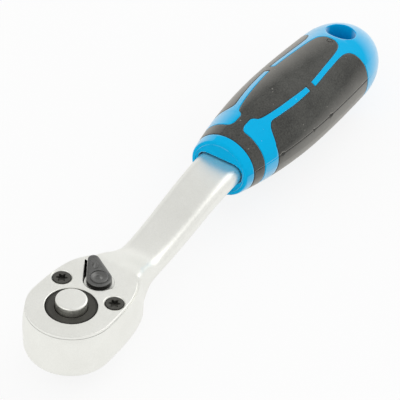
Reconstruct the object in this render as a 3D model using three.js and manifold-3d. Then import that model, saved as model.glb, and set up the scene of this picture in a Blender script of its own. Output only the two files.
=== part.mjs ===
// Reversible ratchet: quick-release drive square, two-way pawl, cranked shank, two-shot moulded handle.
// Millimetres. +X runs along the handle, +Z up the drive axis to the release button.
// The origin is the centre of the drive square's end face.
import * as THREE from "three";
import { mergeVertices } from "three/addons/utils/BufferGeometryUtils.js";
import Module from "manifold-3d";

const wasm = await Module();
wasm.setup();

// Fits
const RUNNING_GAP = 0.2; // radial room of a turning shaft, and end room of what turns
const SLIDING_GAP = 0.15; // radial room of a sliding pin, and of a tenon in its hole
const SEAT_GAP = 0.1; // between faces that are clamped together
const MOULD_GAP = 0.3; // between the two shots of the handle, and round the tang
const RIVET_GAP = 0.05; // under a riveted head

// Drive square and gear
const SQUARE_SIDE = 9.5;
const SQUARE_LENGTH = 7.5;
const SQUARE_CHAMFER = 0.8;
const HUB_RADIUS = 7.5;
const HUB_STANDOFF = 0.3;
const GEAR_TEETH = 72;
const GEAR_TIP_RADIUS = 9.8;
const TOOTH_DEPTH = 0.45;
const BOSS_RADIUS = 8.3;
const BOSS_RECESS = 0.3; // boss top below the plate top
const WASHER_THICKNESS = 0.4;
const WASHER_WIDTH = 1.4;

// Quick release
const BUTTON_RADIUS = 5.14;
const BUTTON_RISE = 2.9; // button top above the plate top
const BUTTON_EDGE = 0.4;
const BUTTON_TRAVEL = 2.0;
const BUTTON_SKIRT = 1.95; // below the snap ring groove
const PIN_RADIUS = 2.0;
const PIN_WAIST_RADIUS = 1.3; // where the ball falls in
const PIN_WAIST_HALF = 1.2;
const PIN_RAMP = 0.6;
const PIN_TAIL = 1.3; // pin below the ball's centre
const BALL_RADIUS = 1.6;
const BALL_HEIGHT = 5.0; // ball centre above the square's end
const BALL_PROUD = 0.6;
const RING_THICKNESS = 0.7;
const RING_INNER_RADIUS = 4.65;
const RING_WIDTH = 1.2;
const RING_OPENING = 40; // degrees
const SPRING_WIRE = 0.7;
const SPRING_RADIUS = 3.5;
const SPRING_TURNS = 4.5;
const SPRING_SPACE = 7.0; // under the button at rest

// Head and cover plate
const HEAD_WALL = 4.45;
const POCKET_GAP = 0.5; // round the gear teeth
const HEAD_HEIGHT = 18.0;
const HEAD_EDGE = 2.2; // round of the block's foot
const BLOCK_PROUD = 0.45; // block outside the plate near its middle
const BLOCK_BULGE = 0.25; // and the further swell of its drafted sides
const BLOCK_TAIL = 3.2; // block past the plate's ears
const BLOCK_TAIL_EXTRA = 0.6; // half width of the tail over the ears'
const FLOOR_THICKNESS = 4.2;
const PLATE_THICKNESS = 1.0;
const PLATE_EDGE = 0.3;
const EAR_REACH = 6.6; // plate ears past the lever pivot
const SHOULDER_EASE = 0.75;
const NOTCH_HALF_ANGLE = 32.5;

// Cover screws
const SCREW_OUTSET = 3.55; // screw axis outside the gear pocket
const SCREW_SPREAD = 9.8; // degrees past the pawl pocket's end
const SCREW_HEAD_RADIUS = 3.2;
const SCREW_SHANK_RADIUS = 1.5;
const SCREW_LENGTH = 9.0;
const SCREW_RECESS = 0.1;
const SOCKET_RADIUS = 1.6;
const SOCKET_VALLEY_RADIUS = 1.05;
const SOCKET_DEPTH = 1.2;

// Pawl, plunger and reversing lever
const PAWL_ROCK = 3.5; // degrees either side of the middle
const PAWL_TEETH = 3;
const PAWL_FIRST_GROOVE = 4; // gear grooves from the middle to the first pawl tooth
const PAWL_END_DEPTH = 1.5;
const PAWL_FRONT_GAP = 0.6;
const PAWL_FRONT_WALL = 1.4;
const PAWL_BACK_WALL = 0.7;
const PLUNGER_RADIUS = 1.05;
const PLUNGER_LENGTH = 2.4;
const PLUNGER_PROUD = 0.85; // nose past the spindle
const PLUNGER_ROOM = 0.35; // nose to the pawl
const RIDGE_HEIGHT = 0.2;
const RIDGE_HALF_ANGLE = 15;
const PAWL_SPRING_WIRE = 0.3;
const PAWL_SPRING_TURNS = 2;
const SPINDLE_RADIUS = 2.4;
const SPINDLE_FOOT = 1.5; // spindle in the pocket floor
const SPINDLE_BACK_WALL = 0.8;
const FLANGE_THICKNESS = 1.4;
const FLANGE_GAP = 0.25;
const NOTCH_GAP = 0.5; // flange to the plate notch
const TENON_RADIUS = 1.6;
const RIVET_RADIUS = 2.6;
const RIVET_HEIGHT = 0.35;
const LEVER_REACH = 8.0;
const LEVER_WIDE_RADIUS = 3.9;
const LEVER_TIP_RADIUS = 1.9;
const LEVER_THICKNESS = 1.85;
const LEVER_EDGE = 0.3;
const LEVER_TIP_RISE = 1.1; // thumb end above the rest of the lever
const LEVER_REST = 46.5; // degrees

// Shank and tang
const SHANK_LENGTH = 64.9; // plate ears to the handle
const NECK_LENGTH = 9.8;
const NECK_INSET = 0.15; // neck inside the head's outline where it leaves it
const NECK_EDGE = 2.4;
const NECK_FLARE_POWER = 3;
const SHANK_ROOT_HEIGHT = 8.8; // shank's middle above the head's underside
const SHANK_WIDTH_AT_HEAD = 15.2;
const SHANK_WIDTH_AT_HANDLE = 17.2;
const SHANK_THICKNESS = 7.2;
const SHANK_EDGE = 3.2;
const SHANK_SEAT = 6.0; // shank inside the handle's collar
const TANG_WIDTH = 12.4;
const TANG_THICKNESS = 6.0;
const TANG_EDGE = 1.5;
const TANG_LENGTH = 58.0;

// Handle
const HANDLE_LENGTH = 98.5;
const HANDLE_DROOP = 0.0202; // fall of its axis per length
const HANDLE_FLATNESS = 0.948; // height over width
const COLLAR_RADIUS = 11.14;
const COLLAR_EDGE = 1.2;
const BELLY_RADIUS = 16.57;
const BELLY_AT = 49.2;
const BELLY_POWER = 2.1;
const HEEL_RADIUS = 15.88;
const HEEL_LENGTH = 21.7;
const HOLE_FROM_END = 17.5;
const HOLE_HALF_LENGTH = 5.3;
const HOLE_HALF_WIDTH = 5.6;
const SLOT_GAP = 0.4; // collar slot round the shank

// Soft grip, laid out in plan from the collar's front
const GRIP_THICKNESS = 1.8;
const BAND_START = 3.6;
const BAND_WIDTH = 5.2;
const NECK_STRIP_WIDTH = 3.5;
const TOP_PANEL_START = 15.7;
const TOP_PANEL_WIDTH = 15.1;
const PANEL_TO_HOLE = 2.5;
const STRIP_WIDTH = 2.05;
const SIDE_PANEL_START = 16.5;
const SIDE_PANEL_EXTRA = 3.3; // side panel past the top panel's end
const SIDE_FRONT_ROUND = 5.1; // side panel's front corner, with the pull of its curve
const SIDE_FRONT_PULL = 1.6;
const SIDE_REAR_ROUND = 7.4; // and its rear corner
const SIDE_REAR_PULL = 2.4;
const STRIP_FRONT_PULL = 7.5; // easing of the strip between the panels
const STRIP_MIDDLE_PULL = 8.0;
const STRIP_REAR_PULL = 6.0;
const BRIDGE_AT = 45.2;
const BRIDGE_WIDTH = 3.4;

// Fineness of round shapes
const ROUND_SIDES = 24;
const HANDLE_SIDES = 28;
const CORNER_STEPS = 3;
const CURL_STEPS = 8;
const WIRE_SIDES = 5;

// Levels worked out from the sizes
const HEAD_BOTTOM = SQUARE_LENGTH + HUB_STANDOFF;
const PLATE_TOP = HEAD_BOTTOM + HEAD_HEIGHT;
const PLATE_BOTTOM = PLATE_TOP - PLATE_THICKNESS;
const PLATE_SEAT = PLATE_BOTTOM - SEAT_GAP;
const POCKET_FLOOR = HEAD_BOTTOM + FLOOR_THICKNESS;
const GEAR_BOTTOM = POCKET_FLOOR + WASHER_THICKNESS + 2 * SEAT_GAP;
const GEAR_TOP = PLATE_BOTTOM - RUNNING_GAP;
const BOSS_TOP = PLATE_TOP - BOSS_RECESS;
const BUTTON_TOP = PLATE_TOP + BUTTON_RISE;

// Plan positions worked out from the sizes
const POCKET_RADIUS = GEAR_TIP_RADIUS + POCKET_GAP;
const HEAD_RADIUS = POCKET_RADIUS + HEAD_WALL;
const RELIEF_RADIUS = SPINDLE_RADIUS + PLUNGER_PROUD + PLUNGER_ROOM;
const LEVER_X = GEAR_TIP_RADIUS + PAWL_FRONT_GAP + PAWL_FRONT_WALL + RELIEF_RADIUS;
const PAWL_HUB_RADIUS = RELIEF_RADIUS + PAWL_BACK_WALL;
const PAWL_POCKET_RADIUS = PAWL_HUB_RADIUS + POCKET_GAP + SLIDING_GAP;
const FLANGE_RADIUS = PAWL_POCKET_RADIUS - FLANGE_GAP;
const NOTCH_RADIUS = FLANGE_RADIUS + NOTCH_GAP;
const NOTCH_SLOPE = Math.tan(THREE.MathUtils.degToRad(NOTCH_HALF_ANGLE));
const NOTCH_APEX_X = LEVER_X - NOTCH_RADIUS / Math.sin(THREE.MathUtils.degToRad(NOTCH_HALF_ANGLE));
const EAR_X = LEVER_X + EAR_REACH;
const EAR_HALF = (EAR_X - NOTCH_APEX_X) * NOTCH_SLOPE;
const TAIL_X = EAR_X + BLOCK_TAIL;
const TAIL_HALF = EAR_HALF + BLOCK_TAIL_EXTRA;
const NECK_END = TAIL_X + NECK_LENGTH;
const TOOTH_PITCH = 360 / GEAR_TEETH;
const PAWL_END_ANGLE = (PAWL_FIRST_GROOVE + PAWL_TEETH) * TOOTH_PITCH + 0.1 * TOOTH_PITCH;
const PAWL_END_RADIUS = GEAR_TIP_RADIUS + PAWL_END_DEPTH;
const HANDLE_FRONT = EAR_X + SHANK_LENGTH;
const HANDLE_END = HANDLE_FRONT + HANDLE_LENGTH;
const HANDLE_Z = PLATE_TOP; // the handle's axis is level with the plate at the collar
const HOLE_X = HANDLE_END - HOLE_FROM_END;

const part = new THREE.Group();
const reach = 2 * HANDLE_LENGTH; // past everything, for cutters

// Shared helpers

function radians(degrees) {
  return THREE.MathUtils.degToRad(degrees);
}

function polar(radius, degrees) {
  return new THREE.Vector2(radius * Math.cos(radians(degrees)), radius * Math.sin(radians(degrees)));
}

// A closed mesh with shared vertices, no collapsed triangles and its faces outwards.
function closed(geometry) {
  geometry.deleteAttribute("normal");
  geometry.deleteAttribute("uv");
  const merged = mergeVertices(geometry, 1e-4);
  const position = merged.getAttribute("position");
  const index = merged.getIndex().array;
  const kept = [];
  const a = new THREE.Vector3();
  const b = new THREE.Vector3();
  const c = new THREE.Vector3();
  let volume = 0;
  for (let i = 0; i < index.length; i += 3) {
    const [p, q, r] = [index[i], index[i + 1], index[i + 2]];
    if (p === q || q === r || r === p) continue;
    kept.push(p, q, r);
    a.fromBufferAttribute(position, p);
    b.fromBufferAttribute(position, q);
    c.fromBufferAttribute(position, r);
    volume += a.dot(b.cross(c));
  }
  if (volume < 0) kept.reverse();
  merged.setIndex(kept);
  return merged;
}

function solid(geometry) {
  const mesh = closed(geometry);
  return new wasm.Manifold(
    new wasm.Mesh({
      numProp: 3,
      vertProperties: new Float32Array(mesh.getAttribute("position").array),
      triVerts: new Uint32Array(mesh.getIndex().array),
    }),
  );
}

function geometryOf(manifold) {
  const mesh = manifold.getMesh();
  const geometry = new THREE.BufferGeometry();
  geometry.setAttribute("position", new THREE.BufferAttribute(mesh.vertProperties, 3));
  geometry.setIndex(new THREE.BufferAttribute(mesh.triVerts, 1));
  return geometry;
}

function finish(color, roughness, metalness) {
  return new THREE.MeshStandardMaterial({ color, roughness, metalness });
}

function add(name, geometry, material, parent = part) {
  const mesh = new THREE.Mesh(geometry, material);
  mesh.name = name;
  parent.add(mesh);
}

// A turned shape about Z from [radius, z] points.
function turned(profile, sides = ROUND_SIDES) {
  const points = profile.map(([radius, z]) => new THREE.Vector2(radius, z));
  return new THREE.LatheGeometry(points, sides).rotateX(Math.PI / 2);
}

function rod(radius, low, high, sides = ROUND_SIDES) {
  return turned([[0, low], [radius, low], [radius, high], [0, high]], sides);
}

// A plan shape raised from one level to another, with an optional rounded or bevelled rim.
function raised(shape, low, high, edge = 0, edgeSteps = 1, curveSegments = 12) {
  const geometry = new THREE.ExtrudeGeometry(shape, {
    depth: high - low - 2 * edge,
    bevelEnabled: edge > 0,
    bevelThickness: edge,
    bevelSize: edge,
    bevelOffset: -edge,
    bevelSegments: edgeSteps,
    curveSegments,
  });
  return geometry.translate(0, 0, low + edge);
}

// A skin over cross sections of equal point counts, closed by a fan at each end.
function loft(rings) {
  const sides = rings[0].length;
  const points = rings.flat();
  const index = [];
  for (let i = 0; i + 1 < rings.length; i += 1) {
    for (let j = 0; j < sides; j += 1) {
      const a = i * sides + j;
      const b = i * sides + ((j + 1) % sides);
      index.push(a, b, a + sides, b, b + sides, a + sides);
    }
  }
  const last = (rings.length - 1) * sides;
  for (let j = 1; j + 1 < sides; j += 1) {
    index.push(0, j + 1, j);
    index.push(last, last + j, last + j + 1);
  }
  const geometry = new THREE.BufferGeometry().setFromPoints(points);
  geometry.setIndex(index);
  return geometry;
}

function roundedRing(x, middle, halfWidth, halfHeight, edge) {
  const ring = [];
  const corners = [[1, 1], [-1, 1], [-1, -1], [1, -1]];
  corners.forEach(([signY, signZ], corner) => {
    for (let step = 0; step <= CORNER_STEPS; step += 1) {
      const angle = radians(90 * (corner + step / CORNER_STEPS));
      const y = signY * (halfWidth - edge) + edge * Math.cos(angle);
      const z = signZ * (halfHeight - edge) + edge * Math.sin(angle);
      ring.push(new THREE.Vector3(x, y, middle + z));
    }
  });
  return ring;
}

// A coil of round wire about Z. It prints the least gap between its curls.
function coil(name, radius, wire, turns, low, high) {
  const steps = Math.round(turns * CURL_STEPS);
  const path = [];
  for (let i = 0; i <= steps; i += 1) {
    const angle = (i / CURL_STEPS) * 2 * Math.PI;
    const z = low + wire / 2 + ((high - low - wire) * i) / steps;
    path.push(new THREE.Vector3(radius * Math.cos(angle), radius * Math.sin(angle), z));
  }
  let gap = Infinity;
  for (let i = 0; i < path.length; i += 1) {
    for (let j = i + CURL_STEPS / 2; j < path.length; j += 1) {
      gap = Math.min(gap, path[i].distanceTo(path[j]) - wire);
    }
  }
  console.log(`${name}: least gap between curls ${gap.toFixed(2)} mm`);
  const section = new THREE.Shape();
  for (let i = 0; i < WIRE_SIDES; i += 1) {
    const point = polar(wire / 2, (360 * i) / WIRE_SIDES);
    if (i === 0) section.moveTo(point.x, point.y);
    else section.lineTo(point.x, point.y);
  }
  return new THREE.ExtrudeGeometry(section, {
    steps,
    bevelEnabled: false,
    extrudePath: new THREE.CatmullRomCurve3(path),
  });
}

// Finishes
const satinChrome = () => finish(0xdcdcd4, 0.32, 1);
const blackSteel = () => finish(0x4b463e, 0.45, 0.8);
const gunmetal = () => finish(0x6e6e6c, 0.4, 0.9);
const springSteel = () => finish(0x9a9a96, 0.35, 1);

// Head outline in plan: a round front that narrows to a square tail
function headOutline(radius, tailX, tailHalf) {
  const shape = new THREE.Shape();
  const shoulder = radius - SHOULDER_EASE;
  shape.moveTo(tailX, -tailHalf);
  shape.lineTo(tailX, tailHalf);
  shape.bezierCurveTo(tailX * 0.8, shoulder, tailX * 0.45, radius, 0, radius);
  shape.absarc(0, 0, radius, Math.PI / 2, 1.5 * Math.PI, false);
  shape.bezierCurveTo(tailX * 0.45, -radius, tailX * 0.8, -shoulder, tailX, -tailHalf);
  return shape;
}

// Head block: drafted sides that swell outside the plate, and a well rounded foot
function headBlock() {
  const outline = headOutline(HEAD_RADIUS + BLOCK_PROUD, TAIL_X, TAIL_HALF).getPoints(10).slice(0, -1);
  const section = (z, outward) =>
    outline.map((point, i) => {
      const before = outline.at(i - 1);
      const after = outline[(i + 1) % outline.length];
      const along = after.clone().sub(before).normalize();
      return new THREE.Vector3(point.x + along.y * outward, point.y - along.x * outward, z);
    });
  const rings = [];
  const footSteps = 3;
  for (let i = 0; i <= footSteps; i += 1) {
    const angle = (i / footSteps) * (Math.PI / 2);
    rings.push(section(HEAD_BOTTOM + HEAD_EDGE * (1 - Math.sin(angle)), -HEAD_EDGE * (1 - Math.cos(angle))));
  }
  rings.reverse();
  const middle = (HEAD_BOTTOM + PLATE_SEAT) / 2;
  rings.push(section(middle, BLOCK_BULGE));
  rings.push(section(PLATE_SEAT - HEAD_HEIGHT / 5, BLOCK_BULGE / 2));
  rings.push(section(PLATE_SEAT, -BLOCK_PROUD));
  return solid(loft(rings));
}

// Pawl outline in its middle position, about the lever's axis.
// Its toothed ends are drawn in mesh with the gear and swung back by the rock angle.
function pawlEnd() {
  const tip = GEAR_TIP_RADIUS - TOOTH_DEPTH + SLIDING_GAP;
  const root = GEAR_TIP_RADIUS + SLIDING_GAP;
  const points = [];
  for (let tooth = 0; tooth < PAWL_TEETH; tooth += 1) {
    const groove = PAWL_FIRST_GROOVE + tooth;
    points.push(polar(root, -groove * TOOTH_PITCH));
    points.push(polar(tip, -(groove + 0.5) * TOOTH_PITCH));
  }
  points.push(polar(root, -(PAWL_FIRST_GROOVE + PAWL_TEETH) * TOOTH_PITCH));
  points.push(polar(PAWL_END_RADIUS, -PAWL_END_ANGLE));
  const pivot = new THREE.Vector2(LEVER_X, 0);
  return points.map((point) => point.rotateAround(pivot, radians(PAWL_ROCK)).sub(pivot));
}

const PAWL_LIFT = 2 * Math.sin(radians(PAWL_ROCK)) * pawlEnd().at(-1).length();
const PAWL_POCKET_REACH = PAWL_END_RADIUS + PAWL_LIFT + MOULD_GAP;
const PAWL_POCKET_ANGLE = PAWL_END_ANGLE + 3;
const SCREW = polar(POCKET_RADIUS + SCREW_OUTSET, PAWL_POCKET_ANGLE + SCREW_SPREAD);
const SCREW_TOP = PLATE_TOP - SCREW_RECESS;
const SCREW_CONE = SCREW_HEAD_RADIUS - SCREW_SHANK_RADIUS; // a 90 degree head

// Ratchet body: head block, neck, cranked shank and tang in one forging
function shankMiddle(x) {
  const root = HEAD_BOTTOM + SHANK_ROOT_HEIGHT;
  const rise = THREE.MathUtils.smoothstep(x, NECK_END, HANDLE_FRONT + SHANK_SEAT / 2);
  return THREE.MathUtils.lerp(root, HANDLE_Z, rise);
}

function shankHalfWidth(x) {
  const share = THREE.MathUtils.clamp((x - NECK_END) / (HANDLE_FRONT - NECK_END), 0, 1);
  return THREE.MathUtils.lerp(SHANK_WIDTH_AT_HEAD, SHANK_WIDTH_AT_HANDLE, share) / 2;
}

function neckRing(x) {
  const share = THREE.MathUtils.clamp((x - TAIL_X) / NECK_LENGTH, 0, 1);
  const ease = THREE.MathUtils.smoothstep(share, 0, 1);
  const flare = (TAIL_HALF - BLOCK_PROUD - SHANK_WIDTH_AT_HEAD / 2) * (1 - share) ** NECK_FLARE_POWER;
  const middle = shankMiddle(x);
  const top = THREE.MathUtils.lerp(PLATE_SEAT - NECK_INSET, middle + SHANK_THICKNESS / 2, ease);
  const bottom = THREE.MathUtils.lerp(HEAD_BOTTOM + NECK_INSET, middle - SHANK_THICKNESS / 2, ease);
  const edge = THREE.MathUtils.lerp(NECK_EDGE, SHANK_EDGE, ease);
  return roundedRing(x, (top + bottom) / 2, shankHalfWidth(x) + flare, (top - bottom) / 2, edge);
}

function shankRing(x, room = 0) {
  const halfWidth = shankHalfWidth(x) + room;
  return roundedRing(x, shankMiddle(x), halfWidth, SHANK_THICKNESS / 2 + room, SHANK_EDGE + room);
}

function tangRing(x, room = 0) {
  const middle = handleAxis(x);
  return roundedRing(x, middle, TANG_WIDTH / 2 + room, TANG_THICKNESS / 2 + room, TANG_EDGE + room);
}

function forging() {
  const seat = HANDLE_FRONT + SHANK_SEAT;
  const rings = [neckRing(LEVER_X + PAWL_POCKET_RADIUS / 2)];
  const neckSteps = 7;
  for (let i = 0; i <= neckSteps; i += 1) rings.push(neckRing(TAIL_X + (NECK_LENGTH * i) / neckSteps));
  const shankSteps = 10;
  for (let i = 1; i <= shankSteps; i += 1) {
    rings.push(shankRing(THREE.MathUtils.lerp(NECK_END, seat, i / shankSteps)));
  }
  const tang = loft([tangRing(seat - SHANK_SEAT / 2), tangRing(seat + TANG_LENGTH)]);
  return solid(loft(rings)).add(solid(tang));
}

function gearAndPawlPocket() {
  const corner = polar(PAWL_POCKET_REACH, PAWL_POCKET_ANGLE);
  const shape = new THREE.Shape();
  shape.moveTo(0, 0);
  shape.lineTo(corner.x, -corner.y);
  shape.lineTo(LEVER_X - PAWL_POCKET_RADIUS * 0.4, -PAWL_POCKET_RADIUS);
  shape.lineTo(LEVER_X, -PAWL_POCKET_RADIUS);
  shape.lineTo(LEVER_X, PAWL_POCKET_RADIUS);
  shape.lineTo(LEVER_X - PAWL_POCKET_RADIUS * 0.4, PAWL_POCKET_RADIUS);
  shape.lineTo(corner.x, corner.y);
  const hub = rod(PAWL_POCKET_RADIUS, POCKET_FLOOR, PLATE_TOP).translate(LEVER_X, 0, 0);
  return solid(rod(POCKET_RADIUS, POCKET_FLOOR, PLATE_TOP, 2 * ROUND_SIDES))
    .add(solid(raised(shape, POCKET_FLOOR, PLATE_TOP)))
    .add(solid(hub));
}

function ratchetBody() {
  const bore = rod(HUB_RADIUS + RUNNING_GAP, HEAD_BOTTOM - 1, PLATE_SEAT);
  const footBottom = POCKET_FLOOR - SPINDLE_FOOT - RUNNING_GAP;
  const foot = rod(SPINDLE_RADIUS + SLIDING_GAP, footBottom, PLATE_SEAT).translate(LEVER_X, 0, 0);
  let body = headBlock().add(forging());
  body = body.subtract(gearAndPawlPocket()).subtract(solid(bore)).subtract(solid(foot));
  for (const side of [1, -1]) body = body.subtract(screwRoom(side));
  return geometryOf(body);
}

// The room of a cover screw: a blind hole with a countersink
function screwRoom(side) {
  const head = SCREW_HEAD_RADIUS + SLIDING_GAP;
  const shank = SCREW_SHANK_RADIUS + SLIDING_GAP;
  const low = SCREW_TOP - SCREW_LENGTH - SEAT_GAP;
  const profile = [[0, low], [shank, low], [shank, SCREW_TOP - SCREW_CONE]];
  profile.push([head, SCREW_TOP], [head, PLATE_TOP + 1], [0, PLATE_TOP + 1]);
  return solid(turned(profile).translate(SCREW.x, side * SCREW.y, 0));
}

// Cover plate: the head's outline with a round hole, a lever notch and two countersinks
function coverPlate() {
  const edge = radians(90 + NOTCH_HALF_ANGLE);
  const shape = headOutline(HEAD_RADIUS, EAR_X, EAR_HALF);
  const notch = new THREE.Shape();
  notch.absarc(LEVER_X, 0, NOTCH_RADIUS, edge, -edge, false);
  const far = EAR_X + EAR_REACH;
  notch.lineTo(far, -(far - NOTCH_APEX_X) * NOTCH_SLOPE);
  notch.lineTo(far, (far - NOTCH_APEX_X) * NOTCH_SLOPE);
  const hole = rod(BOSS_RADIUS + RUNNING_GAP, PLATE_BOTTOM - 1, PLATE_TOP + 1, 2 * ROUND_SIDES);
  let plate = solid(raised(shape, PLATE_BOTTOM, PLATE_TOP, PLATE_EDGE, 1, 10)).subtract(solid(hole));
  plate = plate.subtract(solid(raised(notch, PLATE_BOTTOM - 1, PLATE_TOP + 1, 0, 1, 16)));
  for (const side of [1, -1]) plate = plate.subtract(screwRoom(side));
  return geometryOf(plate);
}

// Cover screw: countersunk head with a six-lobed socket
function coverScrew() {
  const low = SCREW_TOP - SCREW_LENGTH;
  const tip = SCREW_SHANK_RADIUS * 0.7;
  const profile = [[0, low], [tip, low], [SCREW_SHANK_RADIUS, low + SCREW_SHANK_RADIUS - tip]];
  profile.push([SCREW_SHANK_RADIUS, SCREW_TOP - SCREW_CONE]);
  profile.push([SCREW_HEAD_RADIUS, SCREW_TOP], [0, SCREW_TOP]);
  const star = new THREE.Shape();
  const lobes = 6;
  for (let i = 0; i < 2 * lobes; i += 1) {
    const point = polar(i % 2 ? SOCKET_VALLEY_RADIUS : SOCKET_RADIUS, (180 * i) / lobes);
    if (i === 0) star.moveTo(point.x, point.y);
    else star.lineTo(point.x, point.y);
  }
  const socket = raised(star, SCREW_TOP - SOCKET_DEPTH, SCREW_TOP + 1);
  return geometryOf(solid(turned(profile)).subtract(solid(socket)));
}

// Drive gear: teeth, boss and hub above a hollow drive square
const RING_TOP = BOSS_TOP - RING_THICKNESS * 4;
const RING_BOTTOM = RING_TOP - RING_THICKNESS;
const SKIRT_BOTTOM = RING_BOTTOM - SEAT_GAP - BUTTON_SKIRT;
const SPRING_FLOOR = SKIRT_BOTTOM - SPRING_SPACE;
const BUTTON_BORE = BUTTON_RADIUS + SLIDING_GAP;
const PIN_BORE = PIN_RADIUS + SLIDING_GAP;
const PIN_END = BALL_HEIGHT - PIN_TAIL;
const RING_GROOVE_RADIUS = RING_INNER_RADIUS + RING_WIDTH + SLIDING_GAP;

function driveGear() {
  const teeth = new THREE.Shape();
  for (let i = 0; i < 2 * GEAR_TEETH; i += 1) {
    const radius = i % 2 ? GEAR_TIP_RADIUS - TOOTH_DEPTH : GEAR_TIP_RADIUS;
    const point = polar(radius, (i * TOOTH_PITCH) / 2);
    if (i === 0) teeth.moveTo(point.x, point.y);
    else teeth.lineTo(point.x, point.y);
  }
  const half = SQUARE_SIDE / 2;
  const cut = half - SQUARE_CHAMFER;
  const corners = [[half, cut], [cut, half], [-cut, half], [-half, cut]];
  const outline = [...corners, ...corners.map(([x, y]) => [-x, -y])];
  const square = (z, scale) => outline.map(([x, y]) => new THREE.Vector3(x * scale, y * scale, z));
  const shrunk = cut / half;
  const tail = loft([square(0, shrunk), square(SQUARE_CHAMFER, 1), square(GEAR_BOTTOM, 1)]);
  const boss = rod(BOSS_RADIUS, GEAR_BOTTOM, BOSS_TOP, 2 * ROUND_SIDES);
  let gear = solid(raised(teeth, GEAR_BOTTOM, GEAR_TOP)).add(solid(boss));
  gear = gear.add(solid(rod(HUB_RADIUS, SQUARE_LENGTH, GEAR_BOTTOM + 1))).add(solid(tail));
  const pinFloor = PIN_END - BUTTON_TRAVEL - MOULD_GAP;
  const profile = [[0, pinFloor], [PIN_BORE, pinFloor], [PIN_BORE, SPRING_FLOOR]];
  profile.push([BUTTON_BORE, SPRING_FLOOR], [BUTTON_BORE, RING_BOTTOM - SEAT_GAP]);
  profile.push([RING_GROOVE_RADIUS, RING_BOTTOM - SEAT_GAP]);
  profile.push([RING_GROOVE_RADIUS, RING_TOP + SEAT_GAP], [BUTTON_BORE, RING_TOP + SEAT_GAP]);
  profile.push([BUTTON_BORE, PLATE_TOP], [0, PLATE_TOP]);
  const ball = BALL_RADIUS + SLIDING_GAP;
  const lip = Math.sqrt(BALL_RADIUS ** 2 - (BALL_RADIUS - BALL_PROUD) ** 2) + SLIDING_GAP;
  const outside = half + 1;
  const bore = [[0, 0], [ball, 0], [ball, half - BALL_PROUD], [lip, half], [lip, outside], [0, outside]];
  const ballHole = turned(bore, 16).rotateY(Math.PI / 2).translate(0, 0, BALL_HEIGHT);
  return geometryOf(gear.subtract(solid(turned(profile))).subtract(solid(ballHole)));
}

function gearWasher() {
  const inner = HUB_RADIUS + RUNNING_GAP;
  const low = POCKET_FLOOR + SEAT_GAP;
  const high = low + WASHER_THICKNESS;
  const outer = inner + WASHER_WIDTH;
  return closed(turned([[inner, low], [outer, low], [outer, high], [inner, high], [inner, low]]));
}

// Release button: a headed pin with a waist that lets the ball in when it is pressed
function releaseButton() {
  const groove = RING_INNER_RADIUS - SLIDING_GAP;
  const grooveTop = RING_TOP + SEAT_GAP + BUTTON_TRAVEL;
  const waist = BALL_HEIGHT + BUTTON_TRAVEL;
  const profile = [[0, PIN_END], [PIN_RADIUS, PIN_END], [PIN_RADIUS, waist - PIN_WAIST_HALF - PIN_RAMP]];
  profile.push([PIN_WAIST_RADIUS, waist - PIN_WAIST_HALF], [PIN_WAIST_RADIUS, waist + PIN_WAIST_HALF]);
  profile.push([PIN_RADIUS, waist + PIN_WAIST_HALF + PIN_RAMP], [PIN_RADIUS, SKIRT_BOTTOM]);
  profile.push([BUTTON_RADIUS, SKIRT_BOTTOM], [BUTTON_RADIUS, RING_BOTTOM - SEAT_GAP]);
  profile.push([groove, RING_BOTTOM - SEAT_GAP], [groove, grooveTop], [BUTTON_RADIUS, grooveTop]);
  profile.push([BUTTON_RADIUS, BUTTON_TOP - BUTTON_EDGE], [BUTTON_RADIUS - BUTTON_EDGE, BUTTON_TOP]);
  profile.push([0, BUTTON_TOP]);
  return closed(turned(profile));
}

function buttonSnapRing() {
  const shape = new THREE.Shape();
  const start = radians(RING_OPENING / 2);
  const end = 2 * Math.PI - start;
  shape.absarc(0, 0, RING_INNER_RADIUS + RING_WIDTH, start, end, false);
  shape.absarc(0, 0, RING_INNER_RADIUS, end, start, true);
  return closed(raised(shape, RING_BOTTOM, RING_TOP));
}

function socketBall() {
  const centre = SQUARE_SIDE / 2 + BALL_PROUD - BALL_RADIUS;
  return closed(new THREE.SphereGeometry(BALL_RADIUS, 16, 10).translate(centre, 0, BALL_HEIGHT));
}

const springLow = SPRING_FLOOR + SLIDING_GAP;
const springHigh = SKIRT_BOTTOM - SLIDING_GAP;
const buttonCoil = coil("button_spring", SPRING_RADIUS, SPRING_WIRE, SPRING_TURNS, springLow, springHigh);
add("drive_gear", driveGear(), blackSteel());
add("release_button", releaseButton(), satinChrome());
add("button_spring", closed(buttonCoil), springSteel());
add("button_snap_ring", buttonSnapRing(), springSteel());
add("socket_ball", socketBall(), springSteel());
add("gear_washer", gearWasher(), springSteel());
add("ratchet_body", ratchetBody(), satinChrome());
add("cover_plate", coverPlate(), satinChrome());
add("cover_screw_left", coverScrew().translate(SCREW.x, SCREW.y, 0), blackSteel());
add("cover_screw_right", coverScrew().translate(SCREW.x, -SCREW.y, 0), blackSteel());

// Lever, spindle and plunger, drawn pointing along +X about the lever's own axis
const FLANGE_TOP = PLATE_BOTTOM;
const FLANGE_BOTTOM = FLANGE_TOP - FLANGE_THICKNESS;
const LEVER_BOTTOM = FLANGE_TOP + RIVET_GAP;
const LEVER_TOP = LEVER_BOTTOM + LEVER_THICKNESS;
const PAWL_BOTTOM = POCKET_FLOOR + MOULD_GAP;
const PAWL_TOP = FLANGE_BOTTOM - RUNNING_GAP;
const PLUNGER_Z = (PAWL_BOTTOM + PAWL_TOP) / 2;
const PLUNGER_BORE = PLUNGER_RADIUS + SLIDING_GAP;
const PLUNGER_NOSE = SPINDLE_RADIUS + PLUNGER_PROUD;
const SPRING_POCKET = SPINDLE_RADIUS - SPINDLE_BACK_WALL;

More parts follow.
